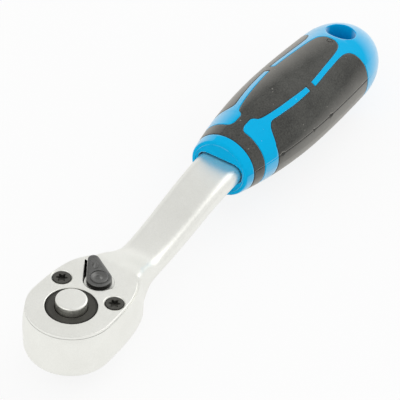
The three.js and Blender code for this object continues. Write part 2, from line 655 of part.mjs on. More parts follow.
function reversingLever() {
  const lean = Math.acos((LEVER_WIDE_RADIUS - LEVER_TIP_RADIUS) / LEVER_REACH);
  const shape = new THREE.Shape();
  shape.absarc(0, 0, LEVER_WIDE_RADIUS, lean, 2 * Math.PI - lean, false);
  shape.absarc(LEVER_REACH, 0, LEVER_TIP_RADIUS, -lean, lean, false);
  const hole = rod(TENON_RADIUS + SLIDING_GAP, FLANGE_TOP - 1, LEVER_TOP + 1, 16);
  const thumb = new THREE.SphereGeometry(1, 16, 12).rotateX(Math.PI / 2);
  thumb.scale(LEVER_TIP_RADIUS - LEVER_EDGE, LEVER_TIP_RADIUS - LEVER_EDGE, LEVER_TIP_RISE);
  thumb.translate(LEVER_REACH, 0, LEVER_TOP);
  const flat = solid(raised(shape, LEVER_BOTTOM, LEVER_TOP, LEVER_EDGE, 1, 8));
  return geometryOf(flat.add(solid(thumb)).subtract(solid(hole)));
}

function leverSpindle() {
  const foot = POCKET_FLOOR - SPINDLE_FOOT;
  const rivetBottom = LEVER_TOP + RIVET_GAP;
  const rivetTop = rivetBottom + RIVET_HEIGHT;
  const profile = [[0, foot], [SPINDLE_RADIUS, foot], [SPINDLE_RADIUS, FLANGE_BOTTOM]];
  profile.push([FLANGE_RADIUS, FLANGE_BOTTOM], [FLANGE_RADIUS, FLANGE_TOP], [TENON_RADIUS, FLANGE_TOP]);
  profile.push([TENON_RADIUS, rivetBottom], [RIVET_RADIUS, rivetBottom]);
  profile.push([RIVET_RADIUS * 0.85, rivetTop], [0, rivetTop - RIVET_HEIGHT / 2]);
  const bore = rod(PLUNGER_BORE, -SPRING_POCKET, 2 * SPINDLE_RADIUS, 16);
  bore.rotateY(-Math.PI / 2).translate(0, 0, PLUNGER_Z);
  return geometryOf(solid(turned(profile)).subtract(solid(bore)));
}

function pawlPlunger() {
  const back = PLUNGER_NOSE - PLUNGER_LENGTH;
  const profile = [[0, back], [PLUNGER_RADIUS, back], [PLUNGER_RADIUS, PLUNGER_NOSE - PLUNGER_RADIUS * 0.8]];
  profile.push([PLUNGER_RADIUS * 0.7, PLUNGER_NOSE - PLUNGER_RADIUS * 0.25], [0, PLUNGER_NOSE]);
  return closed(turned(profile, 16).rotateY(-Math.PI / 2).translate(0, 0, PLUNGER_Z));
}

function pawlSpring() {
  const radius = PLUNGER_RADIUS - PAWL_SPRING_WIRE / 2 - SLIDING_GAP;
  const high = PLUNGER_NOSE - PLUNGER_LENGTH - 3 * SLIDING_GAP;
  const low = SLIDING_GAP - SPRING_POCKET;
  const wound = coil("pawl_spring", radius, PAWL_SPRING_WIRE, PAWL_SPRING_TURNS, low, high);
  return closed(wound.rotateY(-Math.PI / 2).translate(0, 0, PLUNGER_Z));
}

const lever = new THREE.Group();
lever.position.x = LEVER_X;
lever.rotation.z = radians(LEVER_REST);
part.add(lever);
add("reversing_lever", reversingLever(), gunmetal(), lever);
add("lever_spindle", leverSpindle(), gunmetal(), lever);
add("pawl_plunger", pawlPlunger(), springSteel(), lever);
add("pawl_spring", pawlSpring(), springSteel(), lever);

// Pawl: a rocking crescent on the spindle, with a ridge that the plunger snaps across
function pawl() {
  const end = pawlEnd();
  const arc = [];
  const arcAngle = (PAWL_FIRST_GROOVE - 0.5) * TOOTH_PITCH;
  const steps = 6;
  for (let i = 0; i <= steps; i += 1) {
    const point = polar(GEAR_TIP_RADIUS + PAWL_FRONT_GAP, arcAngle * (1 - (2 * i) / steps));
    arc.push(point.sub(new THREE.Vector2(LEVER_X, 0)));
  }
  const hub = [];
  const hubSteps = 12;
  const hubAngle = 110;
  for (let i = 0; i <= hubSteps; i += 1) {
    hub.push(polar(PAWL_HUB_RADIUS, hubAngle * ((2 * i) / hubSteps - 1)));
  }
  const mirrored = end.map(({ x, y }) => new THREE.Vector2(x, -y)).reverse();
  const shape = new THREE.Shape([...arc, ...end, ...hub, ...mirrored]);
  const eye = [];
  const eyeSteps = 48;
  const reliefAngle = LEVER_REST + 30;
  for (let i = 0; i < eyeSteps; i += 1) {
    const angle = (360 * i) / eyeSteps;
    const fromFront = Math.abs(angle - 180);
    const ridge = RIDGE_HEIGHT * Math.exp(-((fromFront / RIDGE_HALF_ANGLE) ** 2));
    const radius = fromFront < reliefAngle ? RELIEF_RADIUS - ridge : SPINDLE_RADIUS + SLIDING_GAP;
    eye.push(polar(radius, angle));
  }
  shape.holes.push(new THREE.Path(eye));
  return closed(raised(shape, PAWL_BOTTOM, PAWL_TOP));
}

const rocker = new THREE.Group();
rocker.position.x = LEVER_X;
rocker.rotation.z = radians(-PAWL_ROCK);
part.add(rocker);
add("pawl", pawl(), springSteel(), rocker);

// Handle: an oval body whose width swells to a belly and closes in a rounded heel
function handleAxis(x) {
  return HANDLE_Z - HANDLE_DROOP * (x - HANDLE_FRONT);
}

function handleRadius(x) {
  const along = x - HANDLE_FRONT;
  const heelAt = HANDLE_LENGTH - HEEL_LENGTH;
  if (along < BELLY_AT) {
    return BELLY_RADIUS - (BELLY_RADIUS - COLLAR_RADIUS) * (1 - along / BELLY_AT) ** BELLY_POWER;
  }
  if (along < heelAt) {
    return BELLY_RADIUS - (BELLY_RADIUS - HEEL_RADIUS) * ((along - BELLY_AT) / (heelAt - BELLY_AT)) ** 2;
  }
  const share = Math.min((along - heelAt) / HEEL_LENGTH, 1);
  return HEEL_RADIUS * Math.sqrt(1 - share ** 2);
}

function ovalRing(x, radius) {
  const ring = [];
  for (let i = 0; i < HANDLE_SIDES; i += 1) {
    const { x: y, y: z } = polar(radius, (360 * i) / HANDLE_SIDES);
    ring.push(new THREE.Vector3(x, y, handleAxis(x) + HANDLE_FLATNESS * z));
  }
  return ring;
}

// The handle's form, grown or shrunk by a skin depth. A shrunk form also runs past both ends of the grip.
function handleForm(growth) {
  const rings = [];
  const bodySteps = 12;
  const heelSteps = 6;
  const heelAngle = 84;
  const heelX = HANDLE_END - HEEL_LENGTH;
  const collar = handleRadius(HANDLE_FRONT) + growth;
  const easing = COLLAR_EDGE * 0.3;
  rings.push(ovalRing(HANDLE_FRONT, collar - COLLAR_EDGE));
  rings.push(ovalRing(HANDLE_FRONT + easing, collar - easing));
  for (let i = 0; i < bodySteps; i += 1) {
    const x = THREE.MathUtils.lerp(HANDLE_FRONT + COLLAR_EDGE, heelX, i / bodySteps);
    rings.push(ovalRing(x, handleRadius(x) + growth));
  }
  for (let i = 0; i <= heelSteps; i += 1) {
    const angle = radians((heelAngle * i) / heelSteps);
    const x = heelX + (HEEL_LENGTH + growth) * Math.sin(angle);
    rings.push(ovalRing(x, (HEEL_RADIUS + growth) * Math.cos(angle)));
  }
  return solid(loft(rings));
}

// The grip's layout in plan, through the handle: band, neck strip, top panel, side panels and bridge
function gripLayout(growth) {
  const front = HANDLE_FRONT;
  const low = HANDLE_Z - reach / 2;
  const high = HANDLE_Z + reach / 2;
  const wide = 2 * BELLY_RADIUS;
  const middle = front + BRIDGE_AT;
  const raise = (shape) => solid(raised(shape, low, high, 0, 1, 8));
  const block = (x0, x1, half) => {
    const size = [x1 - x0 + 2 * growth, 2 * (half + growth), high - low];
    return solid(new THREE.BoxGeometry(...size).translate((x0 + x1) / 2, 0, (low + high) / 2));
  };
  const bandEnd = front + BAND_START + BAND_WIDTH;
  const neck = NECK_STRIP_WIDTH / 2;
  const panelStart = front + TOP_PANEL_START;
  const panelEnd = HOLE_X - HOLE_HALF_LENGTH - PANEL_TO_HOLE + growth;
  const panelHalf = TOP_PANEL_WIDTH / 2 + growth;
  const fall = panelEnd - middle;
  const top = new THREE.Shape();
  const swell = middle - panelStart;
  for (const side of [-1, 1]) {
    const start = [panelStart - growth, side * (neck + growth)];
    const leave = [panelStart - growth + swell * 0.06, side * (panelHalf * 0.69)];
    const settle = [panelStart + swell * 0.52, side * (panelHalf * 0.967)];
    const rear = [middle + fall * 0.46, side * panelHalf];
    const close = [panelEnd, side * panelHalf * 0.86];
    if (side < 0) {
      top.moveTo(...start);
      top.bezierCurveTo(...leave, ...settle, middle, -panelHalf);
      top.bezierCurveTo(...rear, ...close, panelEnd, 0);
    } else {
      top.bezierCurveTo(...close, ...rear, middle, panelHalf);
      top.bezierCurveTo(...settle, ...leave, ...start);
    }
  }
  const sideStart = front + SIDE_PANEL_START - growth;
  const sideEnd = HOLE_X - HOLE_HALF_LENGTH - PANEL_TO_HOLE + SIDE_PANEL_EXTRA + growth;
  const inner = TOP_PANEL_WIDTH / 2 + STRIP_WIDTH - growth;
  const sideLayout = (side) => {
    const shape = new THREE.Shape();
    const edge = side * inner;
    shape.moveTo(sideStart, side * wide);
    shape.lineTo(sideStart, edge * 1.49);
    const frontX = sideStart + SIDE_FRONT_ROUND;
    const rearX = sideEnd - SIDE_REAR_ROUND;
    const frontPull = sideStart + SIDE_FRONT_PULL;
    const rearPull = sideEnd - SIDE_REAR_PULL;
    shape.bezierCurveTo(sideStart, edge * 1.15, frontPull, edge * 0.79, frontX, edge * 0.81);
    const middleFront = middle - STRIP_MIDDLE_PULL;
    const middleRear = middle + STRIP_MIDDLE_PULL;
    shape.bezierCurveTo(frontX + STRIP_FRONT_PULL, edge * 0.92, middleFront, edge, middle, edge);
    shape.bezierCurveTo(middleRear, edge, rearX - STRIP_REAR_PULL, edge * 0.81, rearX, edge * 0.83);
    shape.bezierCurveTo(rearPull, edge * 0.87, sideEnd, edge * 1.25, sideEnd, edge * 1.65);
    shape.lineTo(sideEnd, side * wide);
    return raise(shape);
  };
  return block(front + BAND_START, bandEnd, wide)
    .add(block(bandEnd - BAND_WIDTH / 2, panelStart + swell * 0.1, neck))
    .add(raise(top))
    .add(sideLayout(1))
    .add(sideLayout(-1))
    .add(block(middle - BRIDGE_WIDTH / 2, middle + BRIDGE_WIDTH / 2, TOP_PANEL_WIDTH / 2 + 2 * STRIP_WIDTH));
}

function handleCore() {
  const recess = handleForm(GRIP_THICKNESS).subtract(handleForm(-GRIP_THICKNESS - MOULD_GAP));
  const seat = HANDLE_FRONT + SHANK_SEAT + MOULD_GAP;
  const slot = [shankRing(HANDLE_FRONT - 1, SLOT_GAP), shankRing(seat, SLOT_GAP)];
  const tangEnd = HANDLE_FRONT + SHANK_SEAT + TANG_LENGTH + MOULD_GAP;
  const socket = [tangRing(HANDLE_FRONT, MOULD_GAP), tangRing(tangEnd, MOULD_GAP)];
  const hole = new THREE.Shape();
  hole.absellipse(HOLE_X, 0, HOLE_HALF_LENGTH, HOLE_HALF_WIDTH, 0, 2 * Math.PI, false);
  const hang = raised(hole, HANDLE_Z - reach / 2, HANDLE_Z + reach / 2, 0, 1, 14);
  return geometryOf(
    handleForm(0)
      .subtract(recess.intersect(gripLayout(MOULD_GAP)))
      .subtract(solid(loft(slot)))
      .subtract(solid(loft(socket)))
      .subtract(solid(hang)),
  );
}

function gripOvermould() {
  return geometryOf(handleForm(0).subtract(handleForm(-GRIP_THICKNESS)).intersect(gripLayout(0)));
}

add("handle_core", handleCore(), finish(0x00aff0, 0.35, 0));
add("grip_overmould", gripOvermould(), finish(0x55554f, 0.75, 0));

export default part;
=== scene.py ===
from math import acos, cos, hypot, pi, radians, sin, sqrt, tan, tau

import bmesh
import bpy
from mathutils import Matrix, Vector


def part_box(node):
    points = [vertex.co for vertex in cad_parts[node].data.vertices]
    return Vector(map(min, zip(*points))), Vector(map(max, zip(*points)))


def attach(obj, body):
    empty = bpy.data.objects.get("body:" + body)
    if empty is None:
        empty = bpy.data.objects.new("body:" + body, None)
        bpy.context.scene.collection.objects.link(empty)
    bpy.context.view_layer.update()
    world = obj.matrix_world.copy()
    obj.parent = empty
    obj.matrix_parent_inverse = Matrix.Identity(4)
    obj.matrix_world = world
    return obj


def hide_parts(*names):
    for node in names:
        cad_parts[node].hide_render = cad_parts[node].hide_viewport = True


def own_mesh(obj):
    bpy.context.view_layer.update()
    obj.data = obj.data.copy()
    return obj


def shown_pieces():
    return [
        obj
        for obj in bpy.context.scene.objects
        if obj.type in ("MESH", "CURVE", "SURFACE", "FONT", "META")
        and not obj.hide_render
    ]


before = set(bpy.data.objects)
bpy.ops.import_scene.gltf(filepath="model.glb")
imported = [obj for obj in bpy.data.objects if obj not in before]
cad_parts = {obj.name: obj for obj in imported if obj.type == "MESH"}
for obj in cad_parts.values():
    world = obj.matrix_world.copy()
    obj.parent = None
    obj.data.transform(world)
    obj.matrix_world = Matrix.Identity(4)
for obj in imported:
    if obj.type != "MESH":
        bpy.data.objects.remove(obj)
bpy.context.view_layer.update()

bpy.ops.object.select_all(action="DESELECT")
MM = 0.001


# Ratchet body: the head block, neck, cranked shank and tang in one steel forging.
# The head is a round block with swollen sides; it narrows to a tail, and a neck blends it into the shank.
# The forging is fettled smooth, bored and pocketed, then satin chromed; the pockets and the groove round the
# lever get a near-black painted shade.
HEAD_RADIUS = 14.75
PLATE_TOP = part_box("cover_plate")[1][2] / MM
HEAD_BOTTOM = PLATE_TOP - 18.0
PLATE_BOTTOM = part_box("cover_plate")[0][2] / MM
PLATE_SEAT = PLATE_BOTTOM - 0.1
SEAT_HALF = 20.0
SEAT_RUNOUT = 3.0
EAR_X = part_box("cover_plate")[1][0] / MM
LEVER_X = 15.4
NOTCH_RADIUS = 5.2
NOTCH_HALF_ANGLE = radians(32.5)
NOTCH_APEX_X = LEVER_X - NOTCH_RADIUS / sin(NOTCH_HALF_ANGLE)
NOTCH_STEPS = 48
EAR_HALF = (EAR_X - NOTCH_APEX_X) * tan(NOTCH_HALF_ANGLE)
SHOULDER_EASE = 0.75
SHOULDER_AT = (0.45, 0.8)
OUTLINE_STEPS = 24
BLOCK_RADIUS = HEAD_RADIUS + 0.45
TAIL_X = EAR_X + 3.2
TAIL_HALF = EAR_HALF + 0.6
BLOCK_FOOT = ((0, -2.2, 0.5), (0.4, -1.2, 0.5), (1.1, -0.5, 0.5), (2.3, -0.1, 0.5))
BLOCK_WALL = ((9, 0.25, 0.1), (13, 0.15, -0.5), (15.5, -0.1, -1.0), (17, -0.45, -1.2))
BLANK_SPARE = 1.0
NECK_LENGTH = 9.8
NECK_END = TAIL_X + NECK_LENGTH
NECK_ROUND = 2.2
NECK_TOP_LENGTH = 16.0
NECK_FLARE_LENGTH = 19.0
NECK_FLARE_POWER = 2
NECK_DRAWN_IN = 1.0
SHANK_START = LEVER_X + 2.0
SHANK_STEPS = (4, 14, 40)
SHANK_ROOT = HEAD_BOTTOM + 8.8
SHANK_HALF_AT_HEAD = 7.6
SHANK_HALF_AT_HANDLE = 8.6
SHANK_HALF_THICKNESS = 3.6
SHANK_ROUND = 3.2
SHANK_SEAT = 6.0
HANDLE_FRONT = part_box("handle_core")[0][0] / MM
HANDLE_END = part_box("handle_core")[1][0] / MM
HANDLE_Z = PLATE_TOP
HANDLE_DROOP = 0.0202
TANG_HALF_WIDTH = 6.2
TANG_HALF_THICKNESS = 3.0
TANG_ROUND = 1.5
TANG_LENGTH = 58.0
TANG_OVERLAP = 1.0
POCKET_FLOOR = HEAD_BOTTOM + 4.2
POCKET_RADIUS = 10.3
PAWL_POCKET_RADIUS = 4.95
PAWL_POCKET_BACK = 0.4 * PAWL_POCKET_RADIUS
PAWL_POCKET_REACH = 12.7
PAWL_POCKET_ANGLE = radians(38.5)
HUB_BORE = 7.7
PLATED_FOOT = 0.5
SPINDLE_BORE = 2.55
SPINDLE_FOOT = 1.7
SCREW_X = 9.21
SCREW_Y = 10.34
SCREW_BORE = 1.65
SCREW_LENGTH = 9.1
SCREW_HEAD_HOLE = 3.35
SCREW_TOP = PLATE_TOP - 0.1
SCREW_CONE = 1.7
RELIEF_WIDTH = 0.95
RELIEF_DEPTH = 3.0
RELIEF_INSET = 0.05
RELIEF_STOP = 0.2
OVERCUT = 3.0
CUT_TOP = PLATE_TOP + OVERCUT
FETTLE_STEP = 0.42
FETTLE_SOFTNESS = 0.5
FETTLE_PASSES = 12
SHARP = radians(50)
SMOOTH_BELOW = radians(35)
MERGE = 1e-7
NEAR = 0.02


def only(piece):
    bpy.ops.object.select_all(action="DESELECT")
    piece.select_set(True)
    bpy.context.view_layer.objects.active = piece


def edit(piece):
    only(piece)
    bpy.ops.object.mode_set(mode="EDIT")
    bpy.ops.mesh.select_mode(type="VERT")
    bpy.ops.mesh.select_all(action="SELECT")


def done():
    """Turns every face outwards and leaves edit mode."""
    bpy.ops.mesh.select_all(action="SELECT")
    bpy.ops.mesh.normals_make_consistent(inside=False)
    if bmesh.from_edit_mesh(bpy.context.object.data).calc_volume(signed=True) < 0:
        bpy.ops.mesh.flip_normals()
    bpy.ops.object.mode_set(mode="OBJECT")


def modify(piece, kind, **settings):
    """Adds a modifier with its settings and applies it."""
    only(piece)
    bpy.ops.object.modifier_add(type=kind)
    modifier = piece.modifiers[-1]
    for name, value in settings.items():
        setattr(modifier, name, value)
    bpy.ops.object.modifier_apply(modifier=modifier.name)


def mix(a, b, share):
    return a + (b - a) * share


def clamp(share):
    return min(max(share, 0), 1)


def ease(share):
    share = clamp(share)
    return share * share * (3 - 2 * share)


def arc(x, y, radius, start, end, steps):
    angles = [mix(start, end, i / steps) for i in range(steps + 1)]
    return [(x + radius * cos(a), y + radius * sin(a)) for a in angles]


def bezier(a, b, c, d, steps):
    points = []
    for i in range(1, steps):
        t = i / steps
        weights = ((1 - t) ** 3, 3 * t * (1 - t) ** 2, 3 * t * t * (1 - t), t ** 3)
        points.append(tuple(sum(w * p[k] for w, p in zip(weights, (a, b, c, d))) for k in (0, 1)))
    return points


def spaced(marks, counts):
    """Places from mark to mark, with a count of equal steps between each two."""
    places = []
    for start, end, count in zip(marks, marks[1:], counts):
        places += [mix(start, end, i / count) for i in range(count)]
    return places + [marks[-1]]


def added(name, primitive, **size):
    """A new primitive to shape, under the piece's name."""
    bpy.ops.object.select_all(action="DESELECT")
    primitive(**size)
    piece = bpy.context.object
    piece.name = name
    return piece


def blank(name, outline, low, high):
    """A sheet or bar blank: a filled circle drawn on to the outline, then pulled up."""
    piece = added(name, bpy.ops.mesh.primitive_circle_add, vertices=len(outline), fill_type="NGON")
    for vertex, (x, y) in zip(piece.data.vertices, outline):
        vertex.co = (x * MM, y * MM, low * MM)
    edit(piece)
    bpy.ops.mesh.extrude_region_move(TRANSFORM_OT_translate={"value": (0, 0, (high - low) * MM)})
    done()
    return piece


def flat_grid(name, rings):
    """A unit grid with a column for each point of a ring and a row for each step between rings."""
    columns, rows = len(rings[0]), len(rings) - 1
    grid = bpy.ops.mesh.primitive_grid_add
    return added(name, grid, x_subdivisions=columns, y_subdivisions=rows, size=1)


def roll(piece, rings):
    """Rolls a unit grid round the rings."""
    around, along = len(rings[0]), len(rings) - 1
    for vertex in piece.data.vertices:
        column = round((vertex.co.x + 0.5) * around) % around
        row = round((vertex.co.y + 0.5) * along)
        vertex.co = Vector(rings[row][column]) * MM


def close(piece):
    edit(piece)
    bpy.ops.mesh.remove_doubles(threshold=MERGE)
    bpy.ops.mesh.select_all(action="DESELECT")
    bpy.ops.mesh.select_non_manifold()
    bpy.ops.mesh.fill_holes(sides=0)
    done()


def skin(name, rings):
    """A skin over rings of equal point counts: a grid rolled round them, its ends filled."""
    piece = flat_grid(name, rings)
    roll(piece, rings)
    close(piece)
    return piece


def rod(x, y, radius, low, high, sides=96):
    return blank("cutter", arc(x, y, radius, 0, tau * (1 - 1 / sides), sides - 1), low, high)


def boolean(piece, other, operation="DIFFERENCE"):
    modify(piece, "BOOLEAN", operation=operation, solver="EXACT", object=other)
    bpy.data.objects.remove(other, do_unlink=True)


def soften(piece, width, steps, wanted):
    """Rounds the sharp edges whose two ends, in millimetres, are both wanted."""
    edit(piece)
    bpy.ops.mesh.select_mode(type="EDGE")
    bpy.ops.mesh.select_all(action="DESELECT")
    mesh = bmesh.from_edit_mesh(piece.data)
    for edge in mesh.edges:
        if len(edge.link_faces) == 2 and edge.calc_face_angle() > SHARP:
            if all(wanted(vertex.co / MM) for vertex in edge.verts):
                edge.select_set(True)
    bmesh.update_edit_mesh(piece.data)
    bpy.ops.mesh.bevel(offset=width * MM, segments=steps, profile=0.5, affect="EDGES")
    done()


def shade(piece):
    """Smooth shading that keeps the sharp edges and leaves the broad faces flat."""
    only(piece)
    bpy.ops.object.shade_smooth_by_angle(angle=SMOOTH_BELOW)
    modify(piece, "WEIGHTED_NORMAL", keep_sharp=True)


def turn(name, profile, steps=96):
    """A turned piece: an open chain of points (radius, height) spun about Z."""
    piece = added(name, bpy.ops.mesh.primitive_circle_add, vertices=len(profile), fill_type="NOTHING")
    for vertex, (radius, z) in zip(piece.data.vertices, profile):
        vertex.co = (radius * MM, 0, z * MM)
    edit(piece)
    mesh = bmesh.from_edit_mesh(piece.data)
    mesh.verts.ensure_lookup_table()
    closing = mesh.edges.get((mesh.verts[0], mesh.verts[-1]))
    mesh.edges.remove(closing)
    bmesh.update_edit_mesh(piece.data)
    bpy.ops.mesh.select_all(action="SELECT")
    bpy.ops.mesh.spin(steps=steps, angle=tau, center=(0, 0, 0), axis=(0, 0, 1))
    bpy.ops.mesh.select_all(action="SELECT")
    bpy.ops.mesh.remove_doubles(threshold=MERGE)
    done()
    return piece


def head_outline(radius, tail_x, tail_half):
    before, after = (share * tail_x for share in SHOULDER_AT)
    shoulder = radius - SHOULDER_EASE
    side = bezier((0, radius), (before, radius), (after, shoulder), (tail_x, tail_half), OUTLINE_STEPS)
    front = arc(0, 0, radius, pi / 2, 1.5 * pi, 3 * OUTLINE_STEPS)
    tail = [(tail_x, -tail_half), (tail_x, tail_half)]
    return front + [(x, -y) for x, y in side] + tail + side[::-1]


def offset_ring(outline, outward, z):
    ring = []
    for i, (x, y) in enumerate(outline):
        (ax, ay), (bx, by) = outline[i - 1], outline[(i + 1) % len(outline)]
        length = hypot(bx - ax, by - ay)
        ring.append((x + (by - ay) / length * outward, y - (bx - ax) / length * outward, z))
    return ring


def rounded_ring(x, middle, half_width, half_height, edge, steps=8):
    ring = []
    for corner, (side, up) in enumerate(((1, 1), (-1, 1), (-1, -1), (1, -1))):
        start = corner * pi / 2
        centre = (side * (half_width - edge), middle + up * (half_height - edge))
        ring += [(x, y, z) for y, z in arc(*centre, edge, start, start + pi / 2, steps)]
    return ring


def shank_middle(x):
    share = (x - NECK_END) / (HANDLE_FRONT + SHANK_SEAT / 2 - NECK_END)
    return mix(SHANK_ROOT, HANDLE_Z, ease(share))


def shank_half_width(x):
    share = (x - NECK_END) / (HANDLE_FRONT - NECK_END)
    return mix(SHANK_HALF_AT_HEAD, SHANK_HALF_AT_HANDLE, clamp(share))


def shank_ring(x):
    settled = ease((x - TAIL_X) / NECK_LENGTH)
    flared = clamp((x - TAIL_X) / NECK_FLARE_LENGTH)
    flare = (TAIL_HALF - NECK_DRAWN_IN - SHANK_HALF_AT_HEAD) * (1 - flared) ** NECK_FLARE_POWER
    top = mix(PLATE_SEAT, shank_middle(x) + SHANK_HALF_THICKNESS, ease((x - TAIL_X) / NECK_TOP_LENGTH))
    bottom = mix(HEAD_BOTTOM, shank_middle(x) - SHANK_HALF_THICKNESS, settled)
    edge = mix(NECK_ROUND, SHANK_ROUND, settled)
    return rounded_ring(x, (top + bottom) / 2, shank_half_width(x) + flare, (top - bottom) / 2, edge)


def handle_axis(x):
    return HANDLE_Z - HANDLE_DROOP * (x - HANDLE_FRONT)


def tang_ring(x):
    return rounded_ring(x, handle_axis(x), TANG_HALF_WIDTH, TANG_HALF_THICKNESS, TANG_ROUND)


seat_end = HANDLE_FRONT + SHANK_SEAT
block_rings = []
for height, outward, spread in BLOCK_FOOT + BLOCK_WALL:
    block_outline = head_outline(BLOCK_RADIUS, TAIL_X, TAIL_HALF + spread)
    block_rings.append(offset_ring(block_outline, outward, HEAD_BOTTOM + height))
plate_outline = head_outline(HEAD_RADIUS, EAR_X, EAR_HALF)
block_rings.append(offset_ring(plate_outline, 0, PLATE_TOP + BLANK_SPARE))
body = skin("forging", block_rings)
shank_stations = spaced((SHANK_START, TAIL_X, NECK_END, seat_end), SHANK_STEPS)
only(skin("shank", [shank_ring(x) for x in shank_stations]))
body.select_set(True)
bpy.context.view_layer.objects.active = body
bpy.ops.object.join()
modify(body, "REMESH", mode="VOXEL", voxel_size=FETTLE_STEP * MM)
modify(body, "SMOOTH", factor=FETTLE_SOFTNESS, iterations=FETTLE_PASSES)

corner_x = PAWL_POCKET_REACH * cos(PAWL_POCKET_ANGLE)
corner_y = PAWL_POCKET_REACH * sin(PAWL_POCKET_ANGLE)
half_pocket = [
    (0.0, 0.0), (corner_x, -corner_y),
    (LEVER_X - PAWL_POCKET_BACK, -PAWL_POCKET_RADIUS), (LEVER_X, -PAWL_POCKET_RADIUS),
]
pawl_pocket = half_pocket + [(x, -y) for x, y in half_pocket[:0:-1]]


def screw_place(side):
    return Matrix.Translation((SCREW_X * MM, side * SCREW_Y * MM, 0))


def screw_room(side):
    """A cutter to the shape of a cover screw's hole and its countersink."""
    foot = SCREW_TOP - SCREW_LENGTH
    profile = [
        (0, foot), (SCREW_BORE, foot), (SCREW_BORE, SCREW_TOP - SCREW_CONE),
        (SCREW_HEAD_HOLE, SCREW_TOP), (SCREW_HEAD_HOLE, CUT_TOP), (0, CUT_TOP),
    ]
    room = turn("cutter", profile, steps=64)
    room.data.transform(screw_place(side))
    return room


def notch_outline(inset, far):
    """The lever's notch in plan, an arc about its pivot with straight sides out to far."""
    mouth = NOTCH_HALF_ANGLE + pi / 2
    radius = NOTCH_RADIUS - inset
    apex = LEVER_X - radius / sin(NOTCH_HALF_ANGLE)
    half = (far - apex) * tan(NOTCH_HALF_ANGLE)
    return arc(LEVER_X, 0, radius, mouth, tau - mouth, NOTCH_STEPS) + [(far, -half), (far, half)]


seat_run = TAIL_X + SEAT_RUNOUT
seat_outline = [
    (-SEAT_HALF, -SEAT_HALF), (seat_run, -SEAT_HALF),
    (seat_run, SEAT_HALF), (-SEAT_HALF, SEAT_HALF),
]
relief_outline = notch_outline(RELIEF_INSET, EAR_X - RELIEF_STOP)
island_outline = notch_outline(RELIEF_WIDTH, EAR_X + OVERCUT)
relief = blank("cutter", relief_outline, PLATE_SEAT - RELIEF_DEPTH, PLATE_TOP)
boolean(relief, blank("cutter", island_outline, PLATE_SEAT - 2 * RELIEF_DEPTH, CUT_TOP))
pocket = rod(0, 0, POCKET_RADIUS, POCKET_FLOOR, CUT_TOP, sides=144)
for cutter in (
    blank("cutter", pawl_pocket, POCKET_FLOOR, CUT_TOP),
    rod(LEVER_X, 0, PAWL_POCKET_RADIUS, POCKET_FLOOR, CUT_TOP),
    rod(0, 0, HUB_BORE, HEAD_BOTTOM - OVERCUT, CUT_TOP),
    rod(LEVER_X, 0, SPINDLE_BORE, POCKET_FLOOR - SPINDLE_FOOT, CUT_TOP, sides=48),
    screw_room(1),
    screw_room(-1),
    blank("cutter", seat_outline, PLATE_SEAT, CUT_TOP),
    relief,
):
    boolean(pocket, cutter, "UNION")
boolean(body, pocket)
tang_stations = (seat_end - TANG_OVERLAP, seat_end + TANG_LENGTH)
boolean(body, skin("cutter", [tang_ring(x) for x in tang_stations]), "UNION")
body.name = "ratchet_body_forged"


SPECK_SCALE = 800
SPECK_SHARE = 0.14
SPECK_SIZE = 0.2
NOISE_DETAIL = (("Fine", 3.0), ("Broad", 4.0))
NOISE_ROUGHNESS = 0.6
NOISE_RANGE = {"From Min": 0.3, "From Max": 0.7}
CLOUD_SHARE = 0.55
# Painted sheen: past this facing value a lighter tone is painted into the base colour, up to this share.
PAINTED_SHEEN_FROM = 0.4
PAINTED_SHEEN_SHARE = 0.95
GRAIN_STRENGTH = 0.6
STEEL_GRAIN = (2200, 90)
CHROME_TONES = ((0.84, 0.84, 0.79), (0.93, 0.93, 0.885))
PAINTED_SHADE_TONES = ((0.012, 0.011, 0.01), (0.02, 0.019, 0.017))


def shader_node(tree, kind, inputs, **settings):
    """A new shader node; each of the inputs gets a value or a link from another node's output."""
    node = tree.nodes.new("ShaderNode" + kind)
    for name, value in settings.items():
        setattr(node, name, value)
    for name, value in inputs.items():
        if isinstance(value, bpy.types.NodeSocket):
            tree.links.new(value, node.inputs[name])
        else:
            node.inputs[name].default_value = value
    return node


def blend(tree, share, a, b):
    """A mix of two colours, each of them a value or another node's output."""
    return shader_node(tree, "Mix", {"Factor": share, "A": a, "B": b}, data_type="RGBA").outputs["Result"]


def surface_grain():
    """Fine grain and broad clouding over a surface, and scattered specks, all from 0 to 1."""
    group = bpy.data.node_groups.new("surface_grain", "ShaderNodeTree")
    for way, names in (("INPUT", ("Fine Scale", "Broad Scale")), ("OUTPUT", ("Fine", "Broad", "Specks"))):
        for name in names:
            group.interface.new_socket(name, in_out=way, socket_type="NodeSocketFloat")
    entry = group.nodes.new("NodeGroupInput")
    leave = group.nodes.new("NodeGroupOutput")
    place = shader_node(group, "TexCoord", {}).outputs["Object"]
    for name, detail in NOISE_DETAIL:
        inputs = {"Vector": place, "Scale": entry.outputs[name + " Scale"]}
        inputs.update({"Detail": detail, "Roughness": NOISE_ROUGHNESS})
        noise = shader_node(group, "TexNoise", inputs)
        group.links.new(noise.outputs["Fac"], leave.inputs[name])
    cells = shader_node(group, "TexVoronoi", {"Vector": place, "Scale": SPECK_SCALE})
    chance = shader_node(group, "SeparateColor", {"Color": cells.outputs["Color"]})
    sizes = {"Value": chance.outputs["Red"], "From Min": 1 - SPECK_SHARE, "To Max": SPECK_SIZE}
    size = shader_node(group, "MapRange", sizes)
    edge = {0: cells.outputs["Distance"], 1: size.outputs["Result"]}
    speck = shader_node(group, "Math", edge, operation="LESS_THAN")
    group.links.new(speck.outputs[0], leave.inputs["Specks"])
    return group


GRAIN = surface_grain()


